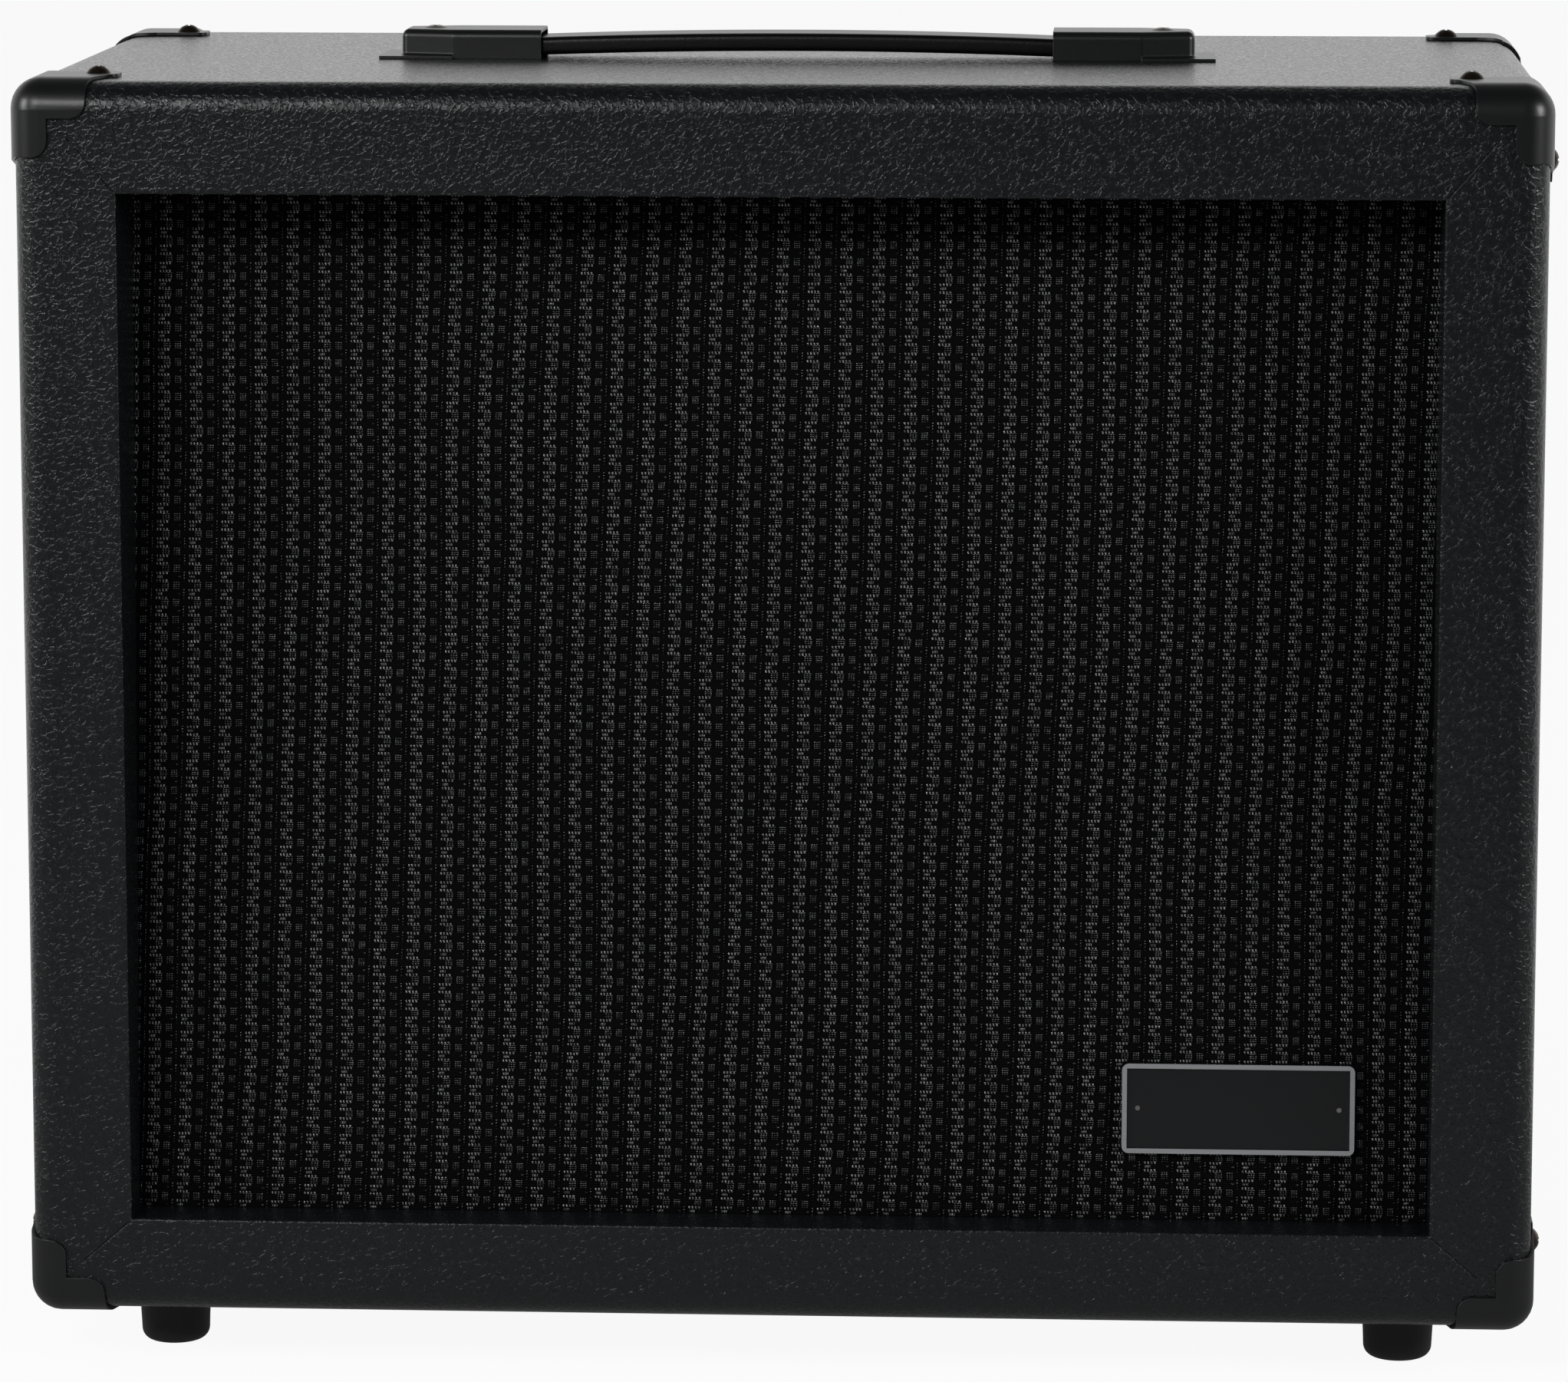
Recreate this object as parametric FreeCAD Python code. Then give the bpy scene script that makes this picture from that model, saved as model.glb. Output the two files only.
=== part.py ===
import FreeCAD, Part
import math
import os

from FreeCAD import Placement, Rotation, Vector

# Guitar speaker cabinet with one 12-inch speaker on a baffle that leans back.
# Millimetres. X to the right seen from the front, Y from front to back, Z up.
# The origin is on the floor under the middle of the cabinet.

# Cabinet, measured over its vinyl covering
cabinet_width = 530.0
cabinet_height = 436.0
cabinet_depth = 275.0
edge_radius = 9.5
vinyl = 0.8
board = 18.0
fingers = 9

# Front frame and the leaning grille behind it
border_side = 36.0
border_top = 38.5
border_bottom = 34.0
recess_top = 40.0
recess_bottom = 19.5
seam_width = 0.5
seam_depth = 0.4

# Grille, baffle and the screws that hold them to the front frame
cloth = 0.8
grille_strip = 6.0
strip_setback = 2.0
baffle = 18.0
panel_gap = 2.0
panel_end_gap = 4.0
baffle_screw_grip = 11.0
baffle_screw_count_across = 3
baffle_screw_count_up = 2
baffle_screw_inset = 69.0
baffle_screw_end_inset = 91.0

# Name plate
badge_from_side = 67.0
badge_above_bottom = 74.0
badge_width = 82.0
badge_height = 32.0
badge_thickness = 2.0
badge_field_depth = 0.8
badge_rim = 1.7
badge_corner = 2.4
badge_pin_inset = 5.5
badge_pin_radius = 0.9
badge_pin_recess = 0.4
push_nut_radius = 3.5
push_nut_thickness = 0.6
badge_pin_tail = 1.2

# Speaker: radii and depths behind its mounting face
speaker_above_bottom = 218.0
cutout_radius = 141.5
flange_overlap = 13.0
gasket = 3.0
sheet_steel = 2.0
speaker_bolt_inset = 6.0
speaker_bolt_count = 8
surround_gap = 0.5
surround_rim = 7.0
surround_roll = 13.0
basket_mouth_inset = 3.0
basket_seat_radius = 72.0
basket_seat_depth = 70.0
basket_wall_depth = 16.0
basket_arms = 6
window_margin_inner = 8.0
window_margin_outer = 12.0
window_angle = 38.0
paper = 0.8
cone_lip = 4.0
cone_neck_gap = 2.0
dust_cap_margin = 7.55
dust_cap_height = 11.0
former_inner_radius = 22.0
former_wall = 0.4
former_lead = 6.0
former_tail = 1.0
coil_wall = 0.7
coil_length = 14.0
air_gap = 0.7
glue_line = 0.05
basket_hole_margin = 6.85
top_plate_margin = 6.0
top_plate = 8.0
magnet_margin = 6.0
magnet_hole_margin = 11.15
magnet = 20.0
yoke_plate = 8.0
pole_gap = 0.6
pole_vent_radius = 6.0
spider_cloth = 0.6
spider_rim_inset = 6.0
spider_rim = 8.0
spider_lift = 6.0
terminal_width_beyond_tags = 16.0
terminal_length = 20.0
terminal_thickness = 6.0
terminal_inset = 25.0
tag_spacing = 20.0
tag_width = 6.3
tag_thickness = 0.8
tag_length = 10.0

# Machine screws and tee nuts of the speaker
bolt_radius = 2.4
bolt_head_radius = 4.6
bolt_head = 3.6
tee_barrel_radius = 3.6
tee_barrel_length = 9.0
tee_flange_radius = 9.5
tee_flange = 1.5

# Ports in the lower corners of the baffle
port_from_side = 60.2
port_above_bottom = 74.0
port_radius = 25.5
port_wall = 2.5
port_length = 75.0
port_flange_overlap = 5.0
port_flange = 2.0

# Back panel, set into the back of the shell and screwed to cleats
back_recess = 8.0
back_board = 12.0
back_gap = 0.5
cleat = 18.0
back_screw_count_across = 3
back_screw_count_up = 2
back_screw_length = 26.0
back_screw_end_inset = 100.0

# Jack plate and jack on the back panel
jack_above_bottom = 100.0
jack_hole_radius = 21.0
jack_plate_size = 76.0
jack_plate = 1.5
jack_plate_corner = 6.0
jack_screw_inset = 7.0
jack_screw_length = 11.0
jack_bore_radius = 3.25
jack_sleeve_radius = 4.75
jack_sleeve_length = 10.0
jack_frame_size = 18.0
jack_frame = 1.5
jack_arm_width = 10.0
jack_arm_length = 32.0
jack_nut_across = 12.7
jack_nut = 2.8
insulator_start = 2.0
insulator_length = 10.0
insulator_height = 3.4
spring_width = 6.0
spring_thickness = 0.4
spring_tip_height = 2.3
spring_length = 18.0
spring_straight = 11.7
spring_tip = 15.3
spring_gap = 0.3
lug_length = 8.0
lug_width = 6.0
lug_thickness = 0.8

# Leads between the jack and the speaker, and the clip that holds them down
lead_radius = 1.3
lead_clip_y = 44.0
lead_clip_beyond_leads = 10.0
lead_clip_length = 8.0
lead_clip_height = 8.0
lead_height_in_clip = 4.0
lead_clearance = 0.3
arc_share = 0.45

# Corner protectors of formed steel sheet, with a lip on the face and a tab on each side
corner_sheet = 1.2
corner_gap = 0.2
corner_lip_length = 26.0
corner_lip_width = 12.4
corner_lip_round = 5.8
corner_tab_reach = 34.0
corner_tab_front = 21.0
corner_tab_back = 34.5
corner_tab_round = 3.0
corner_edge_run = 46.0
corner_edge_half = 3.0
corner_neck = 15.0
corner_neck_back = 34.5
corner_wrap = 6.0
corner_hollow = 4.5
corner_tab_shoulder = 3.0
corner_screw_inset = 7.5

# Wood screws with domed heads
dome_radius = 4.4
dome_height = 2.6
wood_screw_radius = 1.75
wood_screw_length = 17.0
cross_length = 4.6
cross_width = 1.0
cross_depth = 1.3
screw_clearance = 0.08

# Strap handle with a formed cap over each end
handle_length = 302.0
cap_housing_length = 51.0
cap_taper_length = 19.0
cap_flange_lip = 7.5
cap_flange_beside = 2.5
cap_width = 29.0
cap_end_width = 18.0
cap_sheet = 1.2
cap_round = 2.8
cap_foot_round = 1.0
handle_bolt_from_end = 19.0
handle_bolt_radius = 2.5
handle_bolt_head_radius = 4.6
handle_bolt_head = 0.9
strap_side_gap = 1.3
strap_thickness = 6.5
strap_round = 2.8
strap_seat_gap = 0.3
strap_top_gap = 2.5
strap_bow = 2.7
strap_straight_end = 26.0
strap_end_gap = 9.0
strap_tongue_side_gap = 1.8
strap_tongue_lead = 0.5
strap_slot_gap = 0.7
strap_slide = 2.5
grip_length = 72.0

# Rubber feet
foot_height = 20.0
foot_top_radius = 13.0
foot_bottom_radius = 12.2
foot_round = 4.2
foot_from_side = 45.0
foot_from_front = 42.0
foot_bore_gap = 0.2
foot_bore_depth = 10.0
washer_radius = 6.0
washer = 1.2
foot_screw_radius = 2.2
foot_screw_head_radius = 4.2
foot_screw_head = 2.6
foot_screw_bite = 14.0

# Planes and boxes that follow from the sizes above
half_width = cabinet_width / 2
front = -cabinet_depth / 2
back = cabinet_depth / 2
bottom = foot_height
top = bottom + cabinet_height
middle_height = (bottom + top) / 2
wall = vinyl + board
inner_half = half_width - wall
inner_bottom = bottom + wall
inner_top = top - wall
opening_half = half_width - border_side
opening_bottom = bottom + border_bottom
opening_top = top - border_top
opening_middle = (opening_bottom + opening_top) / 2
lean = (recess_top - recess_bottom) / (opening_top - opening_bottom)
lean_angle = math.atan(lean)
cap_height = strap_seat_gap + strap_thickness + strap_top_gap + cap_sheet
strap_width = cap_width - 2 * (cap_sheet + strap_side_gap)
corner_screw_in = corner_tab_reach - corner_screw_inset
corner_screw_back = (corner_tab_front + corner_tab_back) / 2
beyond = 5.0
touching = 0.01

X_AXIS = Vector(1, 0, 0)
Y_AXIS = Vector(0, 1, 0)
Z_AXIS = Vector(0, 0, 1)
ORIGIN = Vector(0, 0, 0)


def grille_plane(height):
    """Depth of the cloth's front face at a height."""
    return front + recess_bottom + (height - opening_bottom) * lean


# The leaning frame: its origin is on the cloth, in the middle of the opening
lean_place = Placement(
    Vector(0, grille_plane(opening_middle), opening_middle),
    Rotation(X_AXIS, -math.degrees(lean_angle)),
)


def on_lean(height):
    """Distance up the leaning face from the middle of the opening to a height."""
    return (height - opening_middle) / math.cos(lean_angle)


def box(x0, x1, y0, y1, z0, z1):
    return Part.makeBox(x1 - x0, y1 - y0, z1 - z0, Vector(x0, y0, z0))


def rounded_box(grow, radius):
    """The cabinet's outer box, grown on all sides, with every edge rounded."""
    block = box(
        -half_width - grow, half_width + grow, front - grow, back + grow, bottom - grow, top + grow
    )
    return block.makeFillet(radius, block.Edges)


def rod(radius, start, end):
    along = end - start
    return Part.makeCylinder(radius, along.Length, start, along)


def face_of(points):
    return Part.Face(Part.makePolygon(points + points[:1]))


def turned(outline):
    """A ring about the Y axis from an outline of (radius, depth) points."""
    face = face_of([Vector(r, y, 0) for r, y in outline])
    return face.revolve(ORIGIN, Y_AXIS, 360)


def arc(start, through, end):
    return Part.Arc(start, through, end).toShape()


def line(start, end):
    return Part.LineSegment(start, end).toShape()


def closed_face(edges):
    return Part.Face(Part.Wire(edges))


def placed(shape, place):
    moved = shape.copy()
    moved.Placement = place.multiply(moved.Placement)
    return moved


def leaning(shape):
    return placed(shape, lean_place)


def along(direction, seat):
    """Placement that stands a Z-up fastener on a seat, with its head along a direction."""
    return Placement(seat, Rotation(Z_AXIS, direction))


def dome_screw(radius, length, head_radius, head_height):
    """Screw whose domed head stands on z = 0, with a crossed slot."""
    rim = Vector(head_radius, 0, 0)
    crown = Vector(0, 0, head_height)
    ball = (head_radius**2 + head_height**2) / (2 * head_height)
    half = math.asin(head_radius / ball) / 2
    shoulder = Vector(ball * math.sin(half), 0, ball * math.cos(half) - ball + head_height)
    profile = closed_face([line(ORIGIN, rim), arc(rim, shoulder, crown), line(crown, ORIGIN)])
    head = profile.revolve(ORIGIN, Z_AXIS, 360)
    slot_floor = max(0, head_height - cross_depth)
    for turn in (0, 90):
        slot = box(
            -cross_length / 2,
            cross_length / 2,
            -cross_width / 2,
            cross_width / 2,
            slot_floor,
            head_height + beyond,
        )
        slot.rotate(ORIGIN, Z_AXIS, turn)
        head = head.cut(slot)
    shank = Part.makeCylinder(radius, length, Vector(0, 0, -length))
    return head.fuse(shank).removeSplitter()


def hex_bolt(radius, length, head_radius, head_height):
    """Bolt whose hexagon head stands on z = 0."""
    points = []
    for side in range(6):
        angle = side * math.pi / 3
        points.append(Vector(head_radius * math.cos(angle), head_radius * math.sin(angle), 0))
    head = face_of(points).extrude(Vector(0, 0, head_height))
    shank = Part.makeCylinder(radius, length, Vector(0, 0, -length))
    return head.fuse(shank).removeSplitter()


def tee_nut_for(screw_radius):
    """Tee nut whose flange lies on z = 0, with its barrel below."""
    flange = Part.makeCylinder(tee_flange_radius, tee_flange)
    barrel = Part.makeCylinder(tee_barrel_radius, tee_barrel_length, Vector(0, 0, -tee_barrel_length))
    reach = tee_barrel_length + tee_flange + 2 * beyond
    bore = Part.makeCylinder(
        screw_radius + screw_clearance, reach, Vector(0, 0, -tee_barrel_length - beyond)
    )
    return flange.fuse(barrel).cut(bore).removeSplitter()


def hole(place, radius, above, below):
    """Cutter along a fastener's axis."""
    return placed(Part.makeCylinder(radius, above + below, Vector(0, 0, -below)), place)


def mirrored(shape, flip_x, flip_y, flip_z):
    if flip_x:
        shape = shape.mirror(ORIGIN, X_AXIS)
    if flip_y:
        shape = shape.mirror(ORIGIN, Y_AXIS)
    if flip_z:
        shape = shape.mirror(Vector(0, 0, middle_height), Z_AXIS)
    return shape


def spread(count, half_span):
    """Evenly spaced places from -half_span to half_span."""
    step = 2 * half_span / (count - 1)
    return [-half_span + i * step for i in range(count)]


nodes = {}


def keep(name, *shapes):
    nodes[name] = list(shapes)


# Places of the fasteners that pass through the shell
corner_screw_places = []
for flip_x in (False, True):
    for flip_y in (False, True):
        side_x = half_width if flip_x else -half_width
        inward_x = -1 if flip_x else 1
        face_y = back if flip_y else front
        inward_y = -1 if flip_y else 1
        seat_y = face_y + inward_y * corner_screw_back
        for flip_z in (False, True):
            end_z = bottom if flip_z else top
            out_z = -1 if flip_z else 1
            stand_off = corner_gap + corner_sheet
            tab_seat = Vector(side_x + inward_x * corner_screw_in, seat_y, end_z + out_z * stand_off)
            side_seat = Vector(side_x - inward_x * stand_off, seat_y, end_z - out_z * corner_screw_in)
            corner_screw_places.append(along(Vector(0, 0, out_z), tab_seat))
            corner_screw_places.append(along(Vector(-inward_x, 0, 0), side_seat))

handle_half = handle_length / 2
handle_bolt_x = handle_half - handle_bolt_from_end
handle_bolt_places = []
for side in (-1, 1):
    handle_bolt_places.append(along(Z_AXIS, Vector(side * handle_bolt_x, 0, top + cap_height)))

foot_places = []
for side in (-1, 1):
    for end in (-1, 1):
        foot_x = side * (half_width - foot_from_side)
        foot_y = end * (cabinet_depth / 2 - foot_from_front)
        foot_places.append(Vector(foot_x, foot_y, 0))
foot_screw_seat = foot_bore_depth - washer

shell_holes = []
for place in corner_screw_places:
    pilot = wood_screw_radius + screw_clearance
    shell_holes.append(hole(place, pilot, beyond, wood_screw_length))
for place in handle_bolt_places:
    drill = tee_barrel_radius + screw_clearance
    shell_holes.append(hole(place, drill, 0, cap_height + wall + beyond))
for foot in foot_places:
    pilot = foot_screw_radius + screw_clearance
    shell_holes.append(rod(pilot, foot, foot + Vector(0, 0, bottom + vinyl + foot_screw_bite)))
shell_drill = Part.makeCompound(shell_holes)

# Shell: four boards with finger joints at the corners, rounded as one
wood = rounded_box(-vinyl, edge_radius - vinyl)
wood_half = half_width - vinyl
finger_pitch = (cabinet_depth - 2 * vinyl) / fingers


def finger_blocks(first):
    blocks = []
    for i in range(first, fingers, 2):
        y0 = front + vinyl + i * finger_pitch
        for x0 in (-wood_half, inner_half):
            for z0 in (bottom + vinyl, inner_top):
                blocks.append(box(x0, x0 + board, y0, y0 + finger_pitch, z0, z0 + board))
    return Part.makeCompound(blocks)


level_fingers = finger_blocks(0)
upright_fingers = finger_blocks(1)


def shell_board(slab, other_fingers):
    return wood.common(slab).cut(other_fingers).cut(shell_drill)


top_slab = box(-half_width, half_width, front, back, inner_top, top)
bottom_slab = box(-half_width, half_width, front, back, bottom, inner_bottom)
left_slab = box(-half_width, -inner_half, front, back, bottom, top)
right_slab = box(inner_half, half_width, front, back, bottom, top)
clip_screw_place = along(Z_AXIS, Vector(0, lead_clip_y, inner_bottom + lead_clip_height))
clip_pilot = hole(clip_screw_place, wood_screw_radius + screw_clearance, 0, wood_screw_length)
keep("top_board", shell_board(top_slab, upright_fingers))
keep("bottom_board", shell_board(bottom_slab, upright_fingers).cut(clip_pilot))
keep("left_board", shell_board(left_slab, level_fingers))
keep("right_board", shell_board(right_slab, level_fingers))

# Baffle screws pass from the back of the baffle through the grille frame into the front frame
panel_half = inner_half - panel_gap
panel_top = inner_top - opening_middle - panel_end_gap
panel_bottom = inner_bottom - opening_middle + panel_end_gap
strip_half = opening_half + strip_setback
strip_top = on_lean(opening_top) + strip_setback
strip_bottom = on_lean(opening_bottom) - strip_setback
baffle_front = cloth + grille_strip
baffle_back = baffle_front + baffle
baffle_screw_places = []
screw_x = (strip_half + panel_half - cloth) / 2
for x in spread(baffle_screw_count_across, opening_half - baffle_screw_inset):
    for z in ((strip_top + panel_top - cloth) / 2, (strip_bottom + panel_bottom + cloth) / 2):
        baffle_screw_places.append(along(Y_AXIS, Vector(x, baffle_back, z)))
for z in spread(baffle_screw_count_up, on_lean(opening_top) - baffle_screw_end_inset):
    for x in (-screw_x, screw_x):
        baffle_screw_places.append(along(Y_AXIS, Vector(x, baffle_back, z)))
baffle_screw_length = baffle_back + baffle_screw_grip
baffle_drill = Part.makeCompound(
    [hole(p, wood_screw_radius + screw_clearance, 0, baffle_screw_length) for p in baffle_screw_places]
)

# Front frame: four mitred rails whose backs lie in the leaning plane
before_grille = face_of(
    [
        Vector(-half_width, front + vinyl, inner_bottom),
        Vector(-half_width, grille_plane(inner_bottom), inner_bottom),
        Vector(-half_width, grille_plane(inner_top), inner_top),
        Vector(-half_width, front + vinyl, inner_top),
    ]
).extrude(Vector(cabinet_width, 0, 0))
opening = box(-opening_half, opening_half, front - beyond, back, opening_bottom, opening_top)
rail_opening = box(
    -opening_half - vinyl,
    opening_half + vinyl,
    front - beyond,
    back,
    opening_bottom - vinyl,
    opening_top + vinyl,
)
rail_stock = before_grille.cut(rail_opening).cut(leaning(baffle_drill))
outer_corners = [(-inner_half, inner_bottom), (inner_half, inner_bottom)]
outer_corners += [(inner_half, inner_top), (-inner_half, inner_top)]
inner_corners = [(-opening_half - vinyl, opening_bottom - vinyl)]
inner_corners += [(opening_half + vinyl, opening_bottom - vinyl)]
inner_corners += [(opening_half + vinyl, opening_top + vinyl)]
inner_corners += [(-opening_half - vinyl, opening_top + vinyl)]
for i, name in enumerate(["bottom", "right", "top", "left"]):
    j = (i + 1) % 4
    corners = [outer_corners[i], outer_corners[j], inner_corners[j], inner_corners[i]]
    mitred = face_of([Vector(x, front, z) for x, z in corners]).extrude(Vector(0, cabinet_depth, 0))
    keep("front_rail_" + name, rail_stock.common(mitred))

# Vinyl covering: one wrapped sheet, folded into the front opening and round the back edges
skin = rounded_box(0, edge_radius).cut(wood).cut(opening)
back_hole_half = inner_half - vinyl
back_hole = box(
    -back_hole_half, back_hole_half, back - wall, back + beyond, inner_bottom + vinyl, inner_top - vinyl
)
back_fold = box(-inner_half, inner_half, back - back_recess, back, inner_bottom, inner_top)
reveal = before_grille.common(rail_opening).fuse(
    box(
        -opening_half - vinyl,
        opening_half + vinyl,
        front,
        front + vinyl,
        opening_bottom - vinyl,
        opening_top + vinyl,
    )
)
covering = skin.fuse([reveal.cut(opening), back_fold]).cut(back_hole).removeSplitter()
folded_edges = []
for edge in covering.Edges:
    ends = [v.Point for v in edge.Vertexes]
    at_front = all(abs(p.y - front) < touching for p in ends)
    at_side = all(abs(abs(p.x) - opening_half) < touching for p in ends)
    at_end = all(min(abs(p.z - opening_bottom), abs(p.z - opening_top)) < touching for p in ends)
    if at_front and (at_side or at_end):
        folded_edges.append(edge)
covering = covering.makeFillet(vinyl, folded_edges).cut(shell_drill)
for i, (x, z) in enumerate(inner_corners):
    end_x, end_z = outer_corners[i]
    run = Vector(end_x - x, 0, end_z - z)
    seam = box(0, run.Length, -beyond, seam_depth, -seam_width / 2, seam_width / 2)
    covering = covering.cut(placed(seam, Placement(Vector(x, front, z), Rotation(X_AXIS, run))))
keep("vinyl_covering", covering.removeSplitter())

# Grille: cloth stretched over four strips, wrapped round their outer edges
badge_up = on_lean(bottom + badge_above_bottom)
badge_x = opening_half - badge_from_side
badge_pin_x = badge_width / 2 - badge_pin_inset
badge_pins = [Vector(badge_x + side * badge_pin_x, 0, badge_up) for side in (-1, 1)]
cloth_block = box(-panel_half, panel_half, 0, baffle_front, panel_bottom, panel_top)
inside_cloth = box(
    -panel_half + cloth,
    panel_half - cloth,
    cloth,
    baffle_front + beyond,
    panel_bottom + cloth,
    panel_top - cloth,
)
grille_cloth = cloth_block.cut(inside_cloth).cut(baffle_drill)
for pin in badge_pins:
    pin_hole = badge_pin_radius + screw_clearance
    grille_cloth = grille_cloth.cut(rod(pin_hole, pin - Y_AXIS * beyond, pin + Y_AXIS * beyond))
keep("grille_cloth", leaning(grille_cloth))
strip_y = (cloth, baffle_front)
strip_x = (-panel_half + cloth, panel_half - cloth)
strips = [
    box(*strip_x, *strip_y, strip_top, panel_top - cloth),
    box(*strip_x, *strip_y, panel_bottom + cloth, strip_bottom),
    box(strip_x[0], -strip_half, *strip_y, strip_bottom, strip_top),
    box(strip_half, strip_x[1], *strip_y, strip_bottom, strip_top),
]
keep("grille_frame", *[leaning(strip.cut(baffle_drill)) for strip in strips])

# Name plate with a raised rim and a bare field, held by two pins and push nuts behind the cloth
badge_left = badge_x - badge_width / 2
badge_low = badge_up - badge_height / 2
badge_right = badge_left + badge_width
badge_high = badge_low + badge_height
plate = box(badge_left, badge_right, -badge_thickness, 0, badge_low, badge_high)
plate = plate.makeFillet(badge_corner, [e for e in plate.Edges if abs(e.tangentAt(0).y) > touching])
field = box(
    badge_left + badge_rim,
    badge_right - badge_rim,
    -badge_thickness - beyond,
    -badge_thickness + badge_field_depth,
    badge_low + badge_rim,
    badge_high - badge_rim,
)
plate = plate.cut(field)
field_face = -badge_thickness + badge_field_depth
pins = []
nuts = []
for pin in badge_pins:
    plate = plate.cut(
        rod(badge_pin_radius + screw_clearance, pin - Y_AXIS * beyond, pin + Y_AXIS * beyond)
    )
    pin_head = pin + Y_AXIS * (field_face + badge_pin_recess)
    pin_tail = pin + Y_AXIS * (cloth + push_nut_thickness + badge_pin_tail)
    pins.append(rod(badge_pin_radius, pin_head, pin_tail))
    nut = rod(push_nut_radius, pin + Y_AXIS * cloth, pin + Y_AXIS * (cloth + push_nut_thickness))
    nuts.append(nut.cut(rod(badge_pin_radius + screw_clearance, pin, pin + Y_AXIS * beyond)))
keep("badge_plate", leaning(plate))
keep("badge_pins", *[leaning(pin) for pin in pins])
keep("badge_push_nuts", *[leaning(nut) for nut in nuts])

# Baffle board with the speaker cut-out and two port holes
flange_radius = cutout_radius + flange_overlap
bolt_circle_radius = flange_radius - speaker_bolt_inset
speaker_up = on_lean(bottom + speaker_above_bottom)
port_x = inner_half - port_from_side
port_up = on_lean(bottom + port_above_bottom)
port_outer = port_radius + port_wall
port_flange_radius = port_outer + port_flange_overlap
bolt_places = []
for i in range(speaker_bolt_count):
    angle = 2 * math.pi * (i + 0.5) / speaker_bolt_count
    bolt_x = bolt_circle_radius * math.cos(angle)
    bolt_z = speaker_up + bolt_circle_radius * math.sin(angle)
    bolt_places.append(Vector(bolt_x, 0, bolt_z))
baffle_board = box(-panel_half, panel_half, baffle_front, baffle_back, panel_bottom, panel_top)
speaker_axis = Vector(0, 0, speaker_up)
baffle_board = baffle_board.cut(rod(cutout_radius, speaker_axis, speaker_axis + Y_AXIS * back))
for side in (-1, 1):
    port_axis = Vector(side * port_x, 0, port_up)
    baffle_board = baffle_board.cut(
        rod(port_outer + screw_clearance, port_axis, port_axis + Y_AXIS * back)
    )
for place in bolt_places:
    baffle_board = baffle_board.cut(
        rod(tee_barrel_radius + screw_clearance, place, place + Y_AXIS * back)
    )
keep("baffle_board", leaning(baffle_board.cut(baffle_drill)))
baffle_screw = dome_screw(wood_screw_radius, baffle_screw_length, dome_radius, dome_height)
keep("baffle_screws", *[leaning(placed(baffle_screw, p)) for p in baffle_screw_places])

# Port tubes, pushed through the baffle from the front up to their flanges
port = turned(
    [
        (port_radius, -port_flange),
        (port_flange_radius, -port_flange),
        (port_flange_radius, 0),
        (port_outer, 0),
        (port_outer, port_length),
        (port_radius, port_length),
    ]
)
for side, name in ((-1, "left"), (1, "right")):
    at = Placement(Vector(side * port_x, baffle_front, port_up), Rotation())
    keep("port_tube_" + name, leaning(placed(port, at)))

# Speaker, bolted to the back of the baffle: depths count from its mounting face
speaker_place = lean_place.multiply(Placement(Vector(0, baffle_back, speaker_up), Rotation()))


def speaker_part(name, *shapes):
    keep(name, *[placed(shape, speaker_place) for shape in shapes])


former_outer = former_inner_radius + former_wall
coil_inner = former_outer + glue_line
coil_outer = coil_inner + coil_wall
surround_outer_radius = cutout_radius - surround_gap
roll_outer_radius = surround_outer_radius - surround_rim
cone_radius = roll_outer_radius - surround_roll
basket_mouth_radius = roll_outer_radius - basket_mouth_inset
basket_hole_radius = coil_outer + basket_hole_margin
window_inner_radius = basket_seat_radius + window_margin_inner
window_outer_radius = basket_mouth_radius - window_margin_outer
flange_back = gasket + sheet_steel
seat_back = basket_seat_depth
seat_front = seat_back - sheet_steel
wall_back = flange_back + basket_wall_depth
basket = turned(
    [
        (basket_mouth_radius, gasket),
        (flange_radius, gasket),
        (flange_radius, flange_back),
        (basket_mouth_radius + sheet_steel, flange_back),
        (basket_mouth_radius, wall_back),
        (basket_seat_radius, seat_back),
        (basket_hole_radius, seat_back),
        (basket_hole_radius, seat_front),
        (basket_seat_radius - sheet_steel, seat_front),
        (basket_mouth_radius - sheet_steel, wall_back - sheet_steel),
    ]
)
basket_filled = turned(
    [
        (0, gasket),
        (flange_radius, gasket),
        (flange_radius, flange_back),
        (basket_mouth_radius + sheet_steel, flange_back),
        (basket_mouth_radius, wall_back),
        (basket_seat_radius, seat_back),
        (0, seat_back),
    ]
)
for i in range(basket_arms):
    window = Part.makeCylinder(window_outer_radius, basket_seat_depth, ORIGIN, Y_AXIS, window_angle)
    window = window.cut(rod(window_inner_radius, ORIGIN, Y_AXIS * basket_seat_depth))
    window.rotate(ORIGIN, Y_AXIS, 360 * i / basket_arms - window_angle / 2)
    window.translate(Y_AXIS * flange_back)
    basket = basket.cut(window)
gasket_ring = turned(
    [(cutout_radius, 0), (flange_radius, 0), (flange_radius, gasket), (cutout_radius, gasket)]
)
bolts = []
tees = []
bolt = hex_bolt(bolt_radius, flange_back + baffle + tee_flange, bolt_head_radius, bolt_head)
for place in bolt_places:
    spot = place - speaker_axis
    drill = rod(bolt_radius + screw_clearance, spot, spot + Y_AXIS * flange_back)
    basket = basket.cut(drill)
    gasket_ring = gasket_ring.cut(drill)
    bolts.append(placed(bolt, along(Y_AXIS, spot + Y_AXIS * flange_back)))
    tees.append(placed(tee_nut_for(bolt_radius), along(-Y_AXIS, spot - Y_AXIS * baffle)))
speaker_part("speaker_basket", basket)
speaker_part("speaker_gasket", gasket_ring)
speaker_part("speaker_bolts", *bolts)
speaker_part("speaker_tee_nuts", *tees)

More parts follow.
